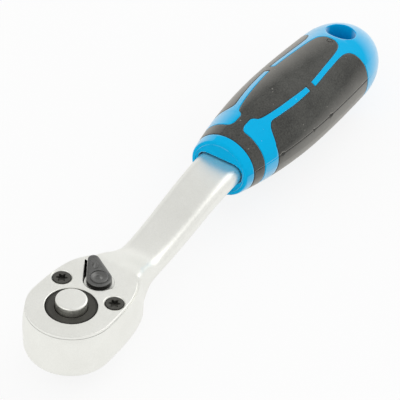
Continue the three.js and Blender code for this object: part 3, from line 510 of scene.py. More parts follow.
def finish(name, tones, roughness, metallic, scales, depth, dust=None, sheen=None, specular=0.5):
    """A finish with two clouded tones, a roughness that varies with the grain, and the grain as relief.

    Dust is the tone of scattered specks, and sheen the tone of a painted sheen, mixed into the colour the
    more slanting the look.
    """
    material = bpy.data.materials.new(name)
    material.use_nodes = True
    tree = material.node_tree
    shader = tree.nodes["Principled BSDF"]
    shader.inputs["Metallic"].default_value = metallic
    shader.inputs["Specular IOR Level"].default_value = specular
    fine, broad = scales
    grain = shader_node(tree, "Group", {"Fine Scale": fine, "Broad Scale": broad}, node_tree=GRAIN)
    shares = {"Factor": CLOUD_SHARE, "A": grain.outputs["Broad"], "B": grain.outputs["Fine"]}
    clouds = shader_node(tree, "Mix", shares)
    spread = shader_node(tree, "MapRange", {"Value": clouds.outputs["Result"], **NOISE_RANGE})
    tone = blend(tree, spread.outputs["Result"], (*tones[0], 1), (*tones[1], 1))
    if dust:
        tone = blend(tree, grain.outputs["Specks"], tone, (*dust, 1))
    # Painted sheen: a lighter tone mixed into the base colour the more slanting the look.
    if sheen:
        slant = shader_node(tree, "LayerWeight", {})
        slants = {"Value": slant.outputs["Facing"], "From Min": PAINTED_SHEEN_FROM, "To Max": PAINTED_SHEEN_SHARE}
        painted_sheen_mix = shader_node(tree, "MapRange", slants)
        tone = blend(tree, painted_sheen_mix.outputs["Result"], tone, (*sheen, 1))
    tree.links.new(tone, shader.inputs["Base Color"])
    low, high = roughness
    shares = {"Value": grain.outputs["Fine"], **NOISE_RANGE, "To Min": low, "To Max": high}
    rough = shader_node(tree, "MapRange", shares)
    tree.links.new(rough.outputs["Result"], shader.inputs["Roughness"])
    relief = {"Strength": GRAIN_STRENGTH, "Distance": depth * MM, "Height": grain.outputs["Fine"]}
    bump = shader_node(tree, "Bump", relief)
    tree.links.new(bump.outputs["Normal"], shader.inputs["Normal"])
    return material


def fit(piece, material, body_name, slot, *nodes):
    """Shades a finished piece, gives it its finish, hangs it under its body's empty and hides the imported
    parts it stands for.
    """
    shade(piece)
    piece.data.materials.clear()
    piece.data.materials.append(material)
    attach(piece, body_name)
    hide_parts(*nodes)


def second_finish(piece, material, wanted):
    """Gives the faces whose middle, in millimetres, is wanted a finish of their own."""
    piece.data.materials.append(material)
    for face in piece.data.polygons:
        face.material_index = 1 if wanted(face.center / MM) else 0


def in_painted_shade(p):
    """True for a face inside the bored pockets or the groove round the lever, where the painted shade goes.
    """
    if not HEAD_BOTTOM + PLATED_FOOT < p.z < PLATE_SEAT - NEAR:
        return False
    groove = p.x < EAR_X and abs(p.y) < (p.x - NOTCH_APEX_X) * tan(NOTCH_HALF_ANGLE)
    return hypot(p.x, p.y) < POCKET_RADIUS + NEAR or groove and p.z > POCKET_FLOOR - SPINDLE_FOOT - NEAR


satin_chrome = finish(
    "satin_chrome", CHROME_TONES, (0.33, 0.46), metallic=1.0, scales=STEEL_GRAIN, depth=0.045)
# A near-black steel finish painted where shade falls: the pockets, the groove round the lever, the screws'
# rims, the boss's rim and the lever's side walls.
painted_shade_steel = finish("painted_shade_steel", PAINTED_SHADE_TONES, (0.4, 0.6), metallic=0.6, scales=STEEL_GRAIN, depth=0.02)
fit(body, satin_chrome, "frame", "satin_chrome", "ratchet_body")
# The pockets and the groove round the lever get the painted shade.
second_finish(body, painted_shade_steel, in_painted_shade)


# Cover plate: a flat steel plate to the head's outline, satin chromed, with every rim chamfered.
# It has a round hole for the gear's boss, a notch for the lever and two countersinks.
PLATE_EDGE = 0.3
BOSS_HOLE = 8.5
RIM_EDGE = 0.36


def on_plate_top(p):
    return p.z > PLATE_TOP - NEAR


plate = blank("cover_plate_flat", plate_outline, PLATE_BOTTOM, PLATE_TOP)
soften(plate, PLATE_EDGE, steps=2, wanted=on_plate_top)
boolean(plate, rod(0, 0, BOSS_HOLE, PLATE_BOTTOM - OVERCUT, CUT_TOP, sides=128))
boolean(plate, blank("cutter", notch_outline(0, EAR_X + 2 * OVERCUT), PLATE_BOTTOM - OVERCUT, CUT_TOP))
for side in (1, -1):
    boolean(plate, screw_room(side))
soften(plate, RIM_EDGE, steps=3, wanted=on_plate_top)
fit(plate, satin_chrome, "frame", "satin_chrome", "cover_plate")


# Cover screws: two countersunk machine screws with six-lobed sockets that hold the plate on the head.
# They are turned from steel bar, the socket punched, and blackened; the rim round the face gets a darker
# painted shade.
SCREW_HEAD_RADIUS = 3.2
SCREW_SHANK_RADIUS = 1.5
SCREW_RIM = 0.34
SCREW_END_STEPS = ((0.45, 0.1), (0, 0.6))
SCREW_HEAD_STEPS = ((0, 0.2), (0.07, 0.1), (SCREW_RIM, 0), (0.7, 0))
SOCKET_VALLEY = 1.15
SOCKET_TIP = 1.95
SOCKET_LOBES = 6
SOCKET_SHARPNESS = 1.3
SOCKET_DEPTH = 1.2
SOCKET_STEPS = ((1.08, 0), (1.0, 0.12), (0.96, SOCKET_DEPTH))
SCREW_SIDES = 96
BLACK_TONES = ((0.065, 0.064, 0.056), (0.108, 0.106, 0.095))


def polar_ring(reaches, z):
    """A level ring about Z, from its reach at each of the equal steps round it."""
    ring = []
    for i, reach in enumerate(reaches):
        angle = tau * i / len(reaches)
        ring.append((reach * cos(angle), reach * sin(angle), z))
    return ring


def screw_ring(radius, z):
    return polar_ring([radius] * SCREW_SIDES, z)


def socket_ring(scale, z):
    waves = [cos(tau * SOCKET_LOBES * i / SCREW_SIDES) for i in range(SCREW_SIDES)]
    lobes = [(0.5 + 0.5 * wave) ** SOCKET_SHARPNESS for wave in waves]
    return polar_ring([scale * mix(SOCKET_VALLEY, SOCKET_TIP, lobe) for lobe in lobes], z)


screw_end = SCREW_TOP - SCREW_LENGTH
screw_rings = [screw_ring(SCREW_SHANK_RADIUS - inset, screw_end + up) for inset, up in SCREW_END_STEPS]
screw_rings += [screw_ring(SCREW_SHANK_RADIUS, SCREW_TOP - SCREW_CONE)]
screw_rings += [screw_ring(SCREW_HEAD_RADIUS - inset, SCREW_TOP - down) for inset, down in SCREW_HEAD_STEPS]
screw_rings += [socket_ring(scale, SCREW_TOP - down) for scale, down in SOCKET_STEPS]
black_steel = finish("black_steel", BLACK_TONES, (0.35, 0.5), metallic=0.75, scales=(2200, 140), depth=0.02)
screw = skin("cover_screw_black_left", screw_rings)
only(screw)
bpy.ops.object.duplicate()
twin = bpy.context.object
twin.name = "cover_screw_black_right"
rim_inner = SCREW_HEAD_RADIUS - SCREW_RIM
for piece, side, node in ((screw, 1, "cover_screw_left"), (twin, -1, "cover_screw_right")):
    piece.data.transform(screw_place(side))
    fit(piece, black_steel, "frame", "black_steel", node)
    # The lowered rim round each head is painted near black as its shade.
    second_finish(piece, painted_shade_steel, lambda p: hypot(p.x - SCREW_X, p.y - side * SCREW_Y) > rim_inner)


# Drive gear: one blackened steel turning with 72 cut teeth, a boss that fills the plate's hole,
# a hub in the head's bore and a drive square with a ball hole in one flat.
# It is bored from the top for the release button, its spring and its snap ring.
GEAR_TEETH = 72
TOOTH_FORM = (0, 0.5, 1, 0.5)
GEAR_COLUMNS = len(TOOTH_FORM) * GEAR_TEETH
GEAR_BOTTOM = POCKET_FLOOR + 0.6
GEAR_TOP = PLATE_BOTTOM - 0.2
GEAR_TIP = 9.8
TOOTH_DEPTH = 0.45
TOOTH_EDGE = 0.15
GEAR_FACE = GEAR_TIP - 2 * TOOTH_DEPTH
BOSS_RADIUS = 8.3
BOSS_TOP = PLATE_TOP - 0.3
BOSS_EDGE = 0.3
BOSS_ROUND = 0.07
BOSS_LINE = 7.75
LINE_HALF = 0.14
LINE_DEPTH = 0.12
HUB_RADIUS = 7.5
HUB_BOTTOM = HEAD_BOTTOM - 0.3
HUB_EDGE = 0.2
BUTTON_BORE = 5.29
SNAP_GROOVE = 6.0
SNAP_GROOVE_LOW = BOSS_TOP - 3.6
SNAP_GROOVE_HIGH = BOSS_TOP - 2.7
SPRING_FLOOR = BOSS_TOP - 12.55
PIN_BORE = 2.15
PIN_FLOOR = 1.4
SQUARE_HALF = 4.75
SQUARE_CORNER = 1.0
SQUARE_END_STEPS = ((1.2, 0.6, 0), (0.5, 0.9, 0.45), (0, SQUARE_CORNER, 1.2))
ROOT_STEPS = ((0, SQUARE_CORNER, 0.4), (0.15, SQUARE_CORNER, 0.1), (0.5, 1.3, 0))
BALL_HEIGHT = 5.0
BALL_RADIUS = 1.6
BALL_PROUD = 0.6
BALL_ROOM = 0.15
BOSS_TONES = ((0.048, 0.047, 0.041), (0.08, 0.078, 0.068))


def gear_round(radius, z):
    return polar_ring([radius] * GEAR_COLUMNS, z)


def gear_teeth(z):
    return polar_ring([GEAR_TIP - TOOTH_DEPTH * cut for cut in TOOTH_FORM] * GEAR_TEETH, z)


def rounded_reach(c, s, half_width, half_height, edge):
    """How far a rounded rectangle reaches from its centre in the direction (c, s)."""
    c, s = max(abs(c), 1e-9), max(abs(s), 1e-9)
    across = half_width / c
    if across * s <= half_height - edge:
        return across
    up = half_height / s
    if up * c <= half_width - edge:
        return up
    cx, cy = half_width - edge, half_height - edge
    along = c * cx + s * cy
    square = c * c + s * s
    return (along + sqrt(along ** 2 - square * (cx * cx + cy * cy - edge * edge))) / square


def gear_square(half, corner_round, z):
    angles = [tau * i / GEAR_COLUMNS for i in range(GEAR_COLUMNS)]
    return polar_ring([rounded_reach(cos(a), sin(a), half, half, corner_round) for a in angles], z)


hub_profile = [
    (HUB_RADIUS - HUB_EDGE, HUB_BOTTOM), (HUB_RADIUS, HUB_BOTTOM + HUB_EDGE),
    (HUB_RADIUS, GEAR_BOTTOM), (GEAR_FACE, GEAR_BOTTOM),
]
boss_profile = [
    (GEAR_FACE, GEAR_TOP), (BOSS_RADIUS, GEAR_TOP), (BOSS_RADIUS, BOSS_TOP - BOSS_EDGE),
    (BOSS_RADIUS - BOSS_ROUND, BOSS_TOP - BOSS_ROUND), (BOSS_RADIUS - BOSS_EDGE, BOSS_TOP),
    (BOSS_LINE + LINE_HALF, BOSS_TOP), (BOSS_LINE, BOSS_TOP - LINE_DEPTH),
    (BOSS_LINE - LINE_HALF, BOSS_TOP), (BUTTON_BORE + BOSS_EDGE, BOSS_TOP),
    (BUTTON_BORE, BOSS_TOP - BOSS_EDGE), (BUTTON_BORE, SNAP_GROOVE_HIGH),
    (SNAP_GROOVE, SNAP_GROOVE_HIGH), (SNAP_GROOVE, SNAP_GROOVE_LOW),
    (BUTTON_BORE, SNAP_GROOVE_LOW), (BUTTON_BORE, SPRING_FLOOR),
    (PIN_BORE, SPRING_FLOOR), (PIN_BORE, PIN_FLOOR),
]
gear_rings = [gear_square(SQUARE_HALF - inset, edge, up) for inset, edge, up in SQUARE_END_STEPS]
gear_rings += [gear_square(SQUARE_HALF + grown, edge, HUB_BOTTOM - down) for grown, edge, down in ROOT_STEPS]
gear_rings += [gear_round(*step) for step in hub_profile]
gear_rings += [gear_teeth(GEAR_BOTTOM + TOOTH_EDGE), gear_teeth(GEAR_TOP - TOOTH_EDGE)]
gear_rings += [gear_round(*step) for step in boss_profile]
gear = skin("drive_gear_cut", gear_rings)

ball_bore = BALL_RADIUS + BALL_ROOM
ball_lip = sqrt(BALL_RADIUS ** 2 - (BALL_RADIUS - BALL_PROUD) ** 2) + BALL_ROOM
ball_mouth = ball_lip + 2 * BALL_ROOM
ball_cut = [
    (0, 0), (ball_bore, 0), (ball_bore, SQUARE_HALF - BALL_PROUD),
    (ball_lip, SQUARE_HALF - BALL_ROOM), (ball_mouth, SQUARE_HALF + BALL_ROOM),
    (ball_mouth, SQUARE_HALF + OVERCUT), (0, SQUARE_HALF + OVERCUT),
]
ball_cutter = turn("cutter", ball_cut, steps=48)
to_flat = Matrix.Translation((0, 0, BALL_HEIGHT * MM)) @ Matrix.Rotation(pi / 2, 4, "Y")
ball_cutter.data.transform(to_flat)
boolean(gear, ball_cutter)
boss_black = finish("boss_black", BOSS_TONES, (0.42, 0.58), metallic=0.6, scales=(2400, 120), depth=0.02)
fit(gear, boss_black, "drive", "black_steel", "drive_gear")
# The boss's side and its outer chamfer are painted near black as the shade in the gap round it.
second_finish(gear, painted_shade_steel, lambda p: p.z > GEAR_TOP and hypot(p.x, p.y) > BOSS_RADIUS - BOSS_EDGE)


# Gear washer, snap ring, pawl, its plunger and its spring: small steel parts inside the head.
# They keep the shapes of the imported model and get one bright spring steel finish.
SPRING_TONES = ((0.4, 0.4, 0.38), (0.55, 0.54, 0.5))

spring_steel = finish("spring_steel", SPRING_TONES, (0.25, 0.4), metallic=1.0, scales=(3000, 200), depth=0.01)
for name in ("gear_washer", "button_snap_ring", "pawl", "pawl_plunger", "pawl_spring"):
    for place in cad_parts[name].material_slots:
        place.material = spring_steel


# Button spring: a compression coil wound from round spring wire, its ends cut off square.
# It stands on the floor of the gear's bore under the button.
COIL_RADIUS = 3.5
COIL_WIRE = 0.7
COIL_TURNS = 4.5
COIL_STEPS = 144
WIRE_SIDES = 16
BUTTON_TRAVEL = 2.0

coil_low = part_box("button_spring")[0][2] / MM
coil_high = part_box("button_spring")[1][2] / MM


def wire_ring(share):
    """The wire's round section at a share of the way up the coil."""
    half = COIL_WIRE / 2
    around = tau * COIL_TURNS * share
    height = mix(coil_low + half, coil_high - half, share)
    ring = []
    for i in range(WIRE_SIDES):
        angle = tau * i / WIRE_SIDES
        reach = COIL_RADIUS + half * cos(angle)
        ring.append((reach * cos(around), reach * sin(around), height + half * sin(angle)))
    return ring


coil = skin("button_spring_wound", [wire_ring(i / COIL_STEPS) for i in range(COIL_STEPS + 1)])
fit(coil, spring_steel, "drive", "spring_steel", "button_spring")
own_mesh(coil)


# Release button: a headed pin turned from bar, its head satin chromed with a rounded rim, its side bright.
# A waist lower down its pin lets the ball in when the button is pressed; a snap ring keeps it in its bore.
BUTTON_RADIUS = 5.14
BUTTON_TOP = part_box("release_button")[1][2] / MM
BUTTON_EDGE = 0.5
BUTTON_EDGE_ARC = (radians(15), radians(80))
BUTTON_RIM = 0.3
BUTTON_GROOVE = 4.5
BUTTON_SKIRT = BOSS_TOP - 5.55
PIN_RADIUS = 2.0
PIN_EDGE = 0.2
PIN_WAIST = 1.3
PIN_END = 3.7
WAIST_Z = 7.0
WAIST_HALF = 1.2
WAIST_SLOPE_HALF = 1.8

groove_high = SNAP_GROOVE_HIGH + BUTTON_TRAVEL
button_rim = BUTTON_RADIUS - BUTTON_EDGE
edge_low = BUTTON_TOP - BUTTON_EDGE
button_profile = [
    (0, PIN_END), (PIN_RADIUS - PIN_EDGE, PIN_END), (PIN_RADIUS, PIN_END + PIN_EDGE),
    (PIN_RADIUS, WAIST_Z - WAIST_SLOPE_HALF), (PIN_WAIST, WAIST_Z - WAIST_HALF),
    (PIN_WAIST, WAIST_Z + WAIST_HALF), (PIN_RADIUS, WAIST_Z + WAIST_SLOPE_HALF),
    (PIN_RADIUS, BUTTON_SKIRT), (BUTTON_RADIUS, BUTTON_SKIRT),
    (BUTTON_RADIUS, SNAP_GROOVE_LOW), (BUTTON_GROOVE, SNAP_GROOVE_LOW),
    (BUTTON_GROOVE, groove_high), (BUTTON_RADIUS, groove_high), (BUTTON_RADIUS, edge_low),
    *arc(button_rim, edge_low, BUTTON_EDGE, *BUTTON_EDGE_ARC, steps=5),
    (button_rim - BUTTON_RIM, BUTTON_TOP), (0, BUTTON_TOP),
]
button = turn("release_button_turned", button_profile)
fit(button, satin_chrome, "button", "satin_chrome", "release_button")
turned_bright = finish(
    "turned_bright", CHROME_TONES, (0.26, 0.36), metallic=1.0, scales=STEEL_GRAIN, depth=0.04)
second_finish(button, turned_bright, lambda p: p.z < edge_low)


# Socket ball: a hardened steel ball that stands out of one flat of the drive square.
# It is lapped round, with a small flat worn on the crown where sockets ride over it.
BALL_FLAT = 0.35

ball_profile = arc(0, 0, BALL_RADIUS, -pi / 2, acos(BALL_FLAT / BALL_RADIUS), steps=24)
ball_profile = [(0, -BALL_RADIUS)] + ball_profile[1:] + [(0, ball_profile[-1][1])]
ball = turn("socket_ball_lapped", ball_profile, steps=48)
ball.data.transform(to_flat @ Matrix.Translation((0, 0, (SQUARE_HALF + BALL_PROUD - BALL_RADIUS) * MM)))
fit(ball, spring_steel, "ball", "spring_steel", "socket_ball")


# Reversing lever: a small teardrop thumb lever, cast in steel and blackened to gunmetal, its side walls
# painted near black as shade.
# Its top rises to the thumb's end, with a pointed pip on it, and it is riveted to the spindle.
LEVER_TURN = radians(46.5)
LEVER_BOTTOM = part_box("reversing_lever")[0][2] / MM
LEVER_TOP = LEVER_BOTTOM + 1.85
LEVER_REACH = 8.0
LEVER_WIDE = 4.15
LEVER_TIP = 1.9
LEVER_ROUND_STEPS = 40
LEVER_TIP_STEPS = 24
LEVER_SIDE_STEPS = 16
LEVER_EDGE = 0.4
LEVER_EDGE_ANGLES = (30, 60, 90)
LEVER_CROWN = 0.02
LEVER_TOP_STEPS = ((0.8, 0), (1.4, 0), (1.4, 0.5), (1.4, 1))
TENON_HOLE = 1.75
RIVET_RADIUS = 2.95
RIVET_ROOM = 0.1
LEVER_RISE = 1.35
RISE_X = (1.0, 8.4)
LEVER_LEAN = radians(2)
PIP_AT = 5.2
PIP_RADIUS = 1.25
PIP_RISE = 1.5
PIP_ROOT = LEVER_TOP - 0.5
PIP_SUNK = 0.1
PIP_STEPS = ((0.62, 0.35), (0.3, 0.85), (0.12, 1), (0, 1))
GUNMETAL_TONES = ((0.13, 0.13, 0.126), (0.156, 0.156, 0.151))

side_slant = acos((LEVER_WIDE - LEVER_TIP) / LEVER_REACH)


def lever_rise(along):
    return LEVER_RISE * clamp((along - RISE_X[0]) / (RISE_X[1] - RISE_X[0]))


def lever_ring(inset, z, lift, to_middle=0.0):
    """The teardrop drawn in by an inset, its height following the rise, or drawn on to its middle line."""
    points = arc(0, 0, LEVER_WIDE - inset, side_slant, tau - side_slant, LEVER_ROUND_STEPS)
    tip = arc(LEVER_REACH, 0, LEVER_TIP - inset, -side_slant, side_slant, LEVER_TIP_STEPS)
    side = []
    for i in range(1, LEVER_SIDE_STEPS):
        side.append(tuple(mix(a, b, i / LEVER_SIDE_STEPS) for a, b in zip(points[-1], tip[0])))
    points += side + tip + [(x, -y) for x, y in side[::-1]]
    ring = []
    for x, y in points:
        x, y = mix(x, min(max(x, 0), LEVER_REACH), to_middle), mix(y, 0, to_middle)
        ring.append((x, y, z + lift * lever_rise(x)))
    return ring


lever_rings = [lever_ring(0, LEVER_BOTTOM, 0), lever_ring(0, LEVER_TOP - LEVER_EDGE, 1)]
for angle in LEVER_EDGE_ANGLES:
    inset = LEVER_EDGE * (1 - cos(radians(angle)))
    lever_rings.append(lever_ring(inset, LEVER_TOP - LEVER_EDGE * (1 - sin(radians(angle))), 1))
lever_rings += [lever_ring(inset, LEVER_TOP + LEVER_CROWN, 1, share) for inset, share in LEVER_TOP_STEPS]
lever = skin("reversing_lever_cast", lever_rings)
pip_foot = LEVER_TOP + lever_rise(PIP_AT)
pip_profile = [(0, PIP_ROOT), (PIP_RADIUS, PIP_ROOT), (PIP_RADIUS, pip_foot - PIP_SUNK)]
pip_profile += [(PIP_RADIUS * out, pip_foot + PIP_RISE * up) for out, up in PIP_STEPS]
pip = turn("cutter", pip_profile, steps=40)
pip.data.transform(Matrix.Translation((PIP_AT * MM, 0, 0)))
boolean(lever, pip, "UNION")
boolean(lever, rod(0, 0, TENON_HOLE, LEVER_BOTTOM - OVERCUT, LEVER_TOP + OVERCUT, sides=48))
boolean(lever, rod(0, 0, RIVET_RADIUS + RIVET_ROOM, LEVER_TOP, LEVER_TOP + 2 * LEVER_RISE, sides=64))
lever_place = Matrix.Translation((LEVER_X * MM, 0, 0)) @ Matrix.Rotation(LEVER_TURN, 4, "Z")
lever.data.transform(lever_place @ Matrix.Rotation(LEVER_LEAN, 4, "Z"))
gunmetal = finish("gunmetal", GUNMETAL_TONES, (0.26, 0.34), metallic=0.85, scales=(1800, 160), depth=0.02)
fit(lever, gunmetal, "lever", "gunmetal", "reversing_lever")
# The side walls and underside are painted near black as their shade.
second_finish(lever, painted_shade_steel, lambda p: p.z < LEVER_TOP - LEVER_EDGE)


# Lever spindle: a turned steel spindle with a plated flange under the lever and a dished, riveted head.
# A cross bore holds the pawl's plunger and its spring.
FLANGE_RADIUS = 4.88
FLANGE_BOTTOM = PLATE_BOTTOM - 1.4
SPINDLE_RADIUS = 2.4
SPINDLE_END = POCKET_FLOOR - 1.5
TENON_RADIUS = 1.6
RIVET_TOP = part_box("lever_spindle")[1][2] / MM
RIVET_BOTTOM = LEVER_TOP + 0.05
RIVET_RIM = ((0.08, 0.12), (0.3, 0), (0.6, 0.06))
RIVET_DISH = ((1.9, 0.25), (1.4, 0.42), (1.0, 0.4), (0.6, 0.22), (0.3, 0.1), (0, 0.06))
PLUNGER_Z = sum(corner[2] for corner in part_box("pawl_plunger")) / 2 / MM
PLUNGER_BORE = 1.2
SPRING_POCKET = 1.6

spindle_profile = [(0, SPINDLE_END), (SPINDLE_RADIUS, SPINDLE_END), (SPINDLE_RADIUS, FLANGE_BOTTOM)]
spindle_profile += [(FLANGE_RADIUS, FLANGE_BOTTOM), (FLANGE_RADIUS, PLATE_BOTTOM)]
spindle_profile += [(TENON_RADIUS, PLATE_BOTTOM), (TENON_RADIUS, RIVET_BOTTOM), (RIVET_RADIUS, RIVET_BOTTOM)]
spindle_profile += [(RIVET_RADIUS - inset, RIVET_TOP - down) for inset, down in RIVET_RIM]
spindle_profile += [(radius, RIVET_TOP - down) for radius, down in RIVET_DISH]
spindle = turn("lever_spindle_turned", spindle_profile, steps=64)
bore = rod(0, 0, PLUNGER_BORE, -SPRING_POCKET, 2 * SPINDLE_RADIUS, sides=32)
bore.data.transform(Matrix.Translation((0, 0, PLUNGER_Z * MM)) @ Matrix.Rotation(-pi / 2, 4, "Y"))
boolean(spindle, bore)
spindle.data.transform(lever_place)
fit(spindle, gunmetal, "lever", "gunmetal", "lever_spindle")
second_finish(spindle, satin_chrome, lambda p: FLANGE_BOTTOM - NEAR < p.z < PLATE_BOTTOM + NEAR)


# Handle core: the hard first shot, bright blue plastic moulded over the tang.
# Its collar has a recessed front round the shank, and a hang hole goes through its heel.
# The soft grip's seats are sunk into it, so the blue shows as strips between the pads.
HANDLE_FLATNESS = 0.948
COLLAR_RADIUS = 11.14
COLLAR_ROUND = 0.4
COLLAR_ROUND_STEPS = 5
COLLAR_RIM = 1.3
COLLAR_RIM_STEPS = ((0.12, 0), (0.04, 0.04), (0, 0.12))
COLLAR_RECESS = 0.35
RECESS_EDGE = 0.15
BELLY_RADIUS = 16.57
BELLY_AT = 49.2
BELLY_POWER = 2.1
HEEL_RADIUS = 15.88
HEEL_LENGTH = 21.7
HEEL_STEPS = 18
HEEL_LAST = radians(88)
SLOT_GAP = 0.4
SLOT_ROOF = 0.1
SLOT_EDGE = 0.25
TANG_GAP = 0.3
SEAT_DEPTH = 2.1
SEAT_ROOM = 0.16
SEAT_EDGE = 0.18
SEAT_MARGIN = 1.0
SKIN_DEPTH = 0.2
BAND_X = (90.9, 96.2)
BRIDGE_X = (130.4, 133.8)
TOP_PAD_END = 160.1
SIDE_PAD_X = (103.4, 162.9)
TOP_PAD_EDGE = (
    (96.2, 3.6), (96.7, 2.7), (97.6, 2.1), (99, 1.75), (102.4, 1.8), (103.4, 2.5), (104.3, 3.7),
    (106, 4.5), (110, 5.4), (117, 6.45), (131, 7.55), (146.7, 6.3), (155.6, 5.2), (158.3, 4.3),
    (159.5, 3.1), (160.1, 1.6),
)
SIDE_PAD_EDGE = (
    (103.4, 12.9), (103.7, 12.0), (104.4, 10.3), (105.5, 8.8), (107.7, 7.75), (112.3, 8.4),
    (123.3, 9.5), (132.1, 9.65), (145.5, 8.65), (155.6, 8.0), (158.9, 8.6), (160.8, 9.9),
    (162.0, 11.6), (162.9, 13.8),
)
TOP_PAD_TAIL = 0.3
SIDE_PAD_SHARES = (0.2, 0.95)
STRIP_SHARE = 0.9
NECK_STRIP_X = 99.2
SIDE_PAD_FRONT = (1.2, 107.0)
PAD_TAIL_X = 157.5
RING_STEPS = (0.8, 0.9, 0.3, 0.8, 0.25, 0.4, 0.8, 0.85, 0.8, 0.3, 0.3, 0.3)
TOP_COLUMNS = 8
STRIP_COLUMNS = 5
SIDE_COLUMNS = 10
PARTING_ANGLE = radians(8.7)
PARTING_HALF = radians(0.6)
PARTING_COLUMN = 2
PARTING_DEPTH = 0.22
SIDE_FACES = PARTING_COLUMN + 1 + SIDE_COLUMNS
QUARTER = SIDE_FACES + STRIP_COLUMNS + TOP_COLUMNS
NICKS = ((105.6, 1.4), (135.2, 1.8), (124.0, 0.9))
NICK_ANGLE = radians(2.6)
NICK_DEPTH = 0.6
HOLE_X = 167.9
HOLE_HALF_LENGTH = 5.3
HOLE_HALF_WIDTH = 5.6
HOLE_SIDES = 96
HOLE_ROUND = 0.6
HOLE_ROUND_ANGLES = (18, 36, 54, 72, 90)
HOLE_FLARE = 0.7
HOLE_PROUD = 0.25
BARE, COVERED = 0, 1
BLUE_TONES = ((0.0, 0.44, 0.8), (0.0, 0.48, 0.85))
BLUE_DUST = (0.15, 0.6, 0.88)
BLUE_PAINTED_SHEEN = (0.7, 0.85, 0.95)


def handle_radius(x):
    along = x - HANDLE_FRONT
    heel_at = HANDLE_END - HANDLE_FRONT - HEEL_LENGTH
    if along < BELLY_AT:
        return BELLY_RADIUS - (BELLY_RADIUS - COLLAR_RADIUS) * (1 - max(along, 0) / BELLY_AT) ** BELLY_POWER
    if along < heel_at:
        return BELLY_RADIUS - (BELLY_RADIUS - HEEL_RADIUS) * ((along - BELLY_AT) / (heel_at - BELLY_AT)) ** 2
    share = min((along - heel_at) / HEEL_LENGTH, 1)
    return HEEL_RADIUS * sqrt(1 - share ** 2)


def smooth_through(points, x):
    """A smooth curve through points that are in order of x, flat beyond its ends."""
    if x <= points[0][0]:
        return points[0][1]
    if x >= points[-1][0]:
        return points[-1][1]
    slopes = [(b[1] - a[1]) / (b[0] - a[0]) for a, b in zip(points, points[1:])]
    tangents = [slopes[0]]
    for before, after in zip(slopes, slopes[1:]):
        tangents.append(0 if before * after <= 0 else 2 * before * after / (before + after))
    tangents.append(slopes[-1])
    i = max(k for k in range(len(points) - 1) if points[k][0] <= x)
    (x0, y0), (x1, y1) = points[i], points[i + 1]
    span = x1 - x0
    t = (x - x0) / span
    rise = (3 - 2 * t) * t * t
    return y0 + (y1 - y0) * rise + span * t * (1 - t) * (tangents[i] * (1 - t) - tangents[i + 1] * t)


def pad_angles(x, growth):
    """Section angles, side to top, of the side pad's edge and the top pad's edge at x."""
    reach = handle_radius(x)
    top = smooth_through(TOP_PAD_EDGE, x) + growth
    if x > TOP_PAD_END:
        top = min(top, TOP_PAD_TAIL * reach)
    side_x = min(max(x, SIDE_PAD_X[0]), SIDE_PAD_X[1])
    share = (smooth_through(SIDE_PAD_EDGE, side_x) - growth) / handle_radius(side_x)
    share = max(min(share, SIDE_PAD_SHARES[1]), SIDE_PAD_SHARES[0])
    return acos(share), acos(min(top / reach, STRIP_SHARE * share))


def nicked(x):
    """How far, from 0 to 1, a place is into one of the nicks in the parting line."""
    return max(0, *(1 - abs(x - middle) / half for middle, half in NICKS))


def section_angles(x, growth):
    side, top = pad_angles(x, growth)
    line_half = PARTING_HALF + NICK_ANGLE * nicked(x)
    quarter = [0.0, PARTING_ANGLE - line_half, PARTING_ANGLE, PARTING_ANGLE + line_half]
    quarter += spaced((quarter[-1], side, top, pi / 2), (SIDE_COLUMNS, STRIP_COLUMNS, TOP_COLUMNS))[1:]
    half = quarter + [pi - a for a in quarter[-2::-1]]
    return half + [tau - a for a in half[-2:0:-1]]


def oval_ring(x, radius, growth, parted=False):
    """A ring of the handle's skin, drawn in along the mould's parting lines where it is parted."""
    ring = []
    nick_line = 2 * QUARTER - PARTING_COLUMN
    lines = {PARTING_COLUMN: PARTING_DEPTH, nick_line: PARTING_DEPTH + NICK_DEPTH * nicked(x)}
    for column, angle in enumerate(section_angles(x, growth)):
        r = radius - (lines.get(column, 0) if parted else 0)
        ring.append((x, r * cos(angle), handle_axis(x) + HANDLE_FLATNESS * r * sin(angle)))
    return ring


def slot_ring(x, middle, half_width, half_height, edge, growth):
    ring = []
    for angle in section_angles(HANDLE_FRONT, growth):
        c, s = cos(angle), HANDLE_FLATNESS * sin(angle)
        reach = rounded_reach(c, s, half_width, half_height, edge)
        ring.append((x, reach * c, middle + reach * s))
    return ring


def handle_stations(growth):
    """Places along the handle where its skin has a ring, with one on each end of a pad."""
    marks = [
        HANDLE_FRONT + COLLAR_ROUND, BAND_X[0] - growth, BAND_X[1] + growth, NECK_STRIP_X,
        SIDE_PAD_X[0] - growth, SIDE_PAD_X[0] + SIDE_PAD_FRONT[0], SIDE_PAD_FRONT[1],
        BRIDGE_X[0] - growth, BRIDGE_X[1] + growth, PAD_TAIL_X,
        TOP_PAD_END + growth, SIDE_PAD_X[1] + growth, HANDLE_END - HEEL_LENGTH,
    ]
    spans = zip(marks, marks[1:], RING_STEPS)
    return spaced(marks, [max(1, round((end - start) / step)) for start, end, step in spans])


def pad_covers(column, x, growth):
    """True where the soft grip covers the skin: column counts round from one side, x is a face's middle."""
    into = column % (2 * QUARTER)
    into = min(into, 2 * QUARTER - 1 - into)
    if BAND_X[0] - growth < x < BAND_X[1] + growth:
        return True
    if into < SIDE_FACES:
        return SIDE_PAD_X[0] - growth < x < SIDE_PAD_X[1] + growth
    if into < SIDE_FACES + STRIP_COLUMNS:
        return BRIDGE_X[0] - growth < x < BRIDGE_X[1] + growth
    return BAND_X[1] < x < TOP_PAD_END + growth


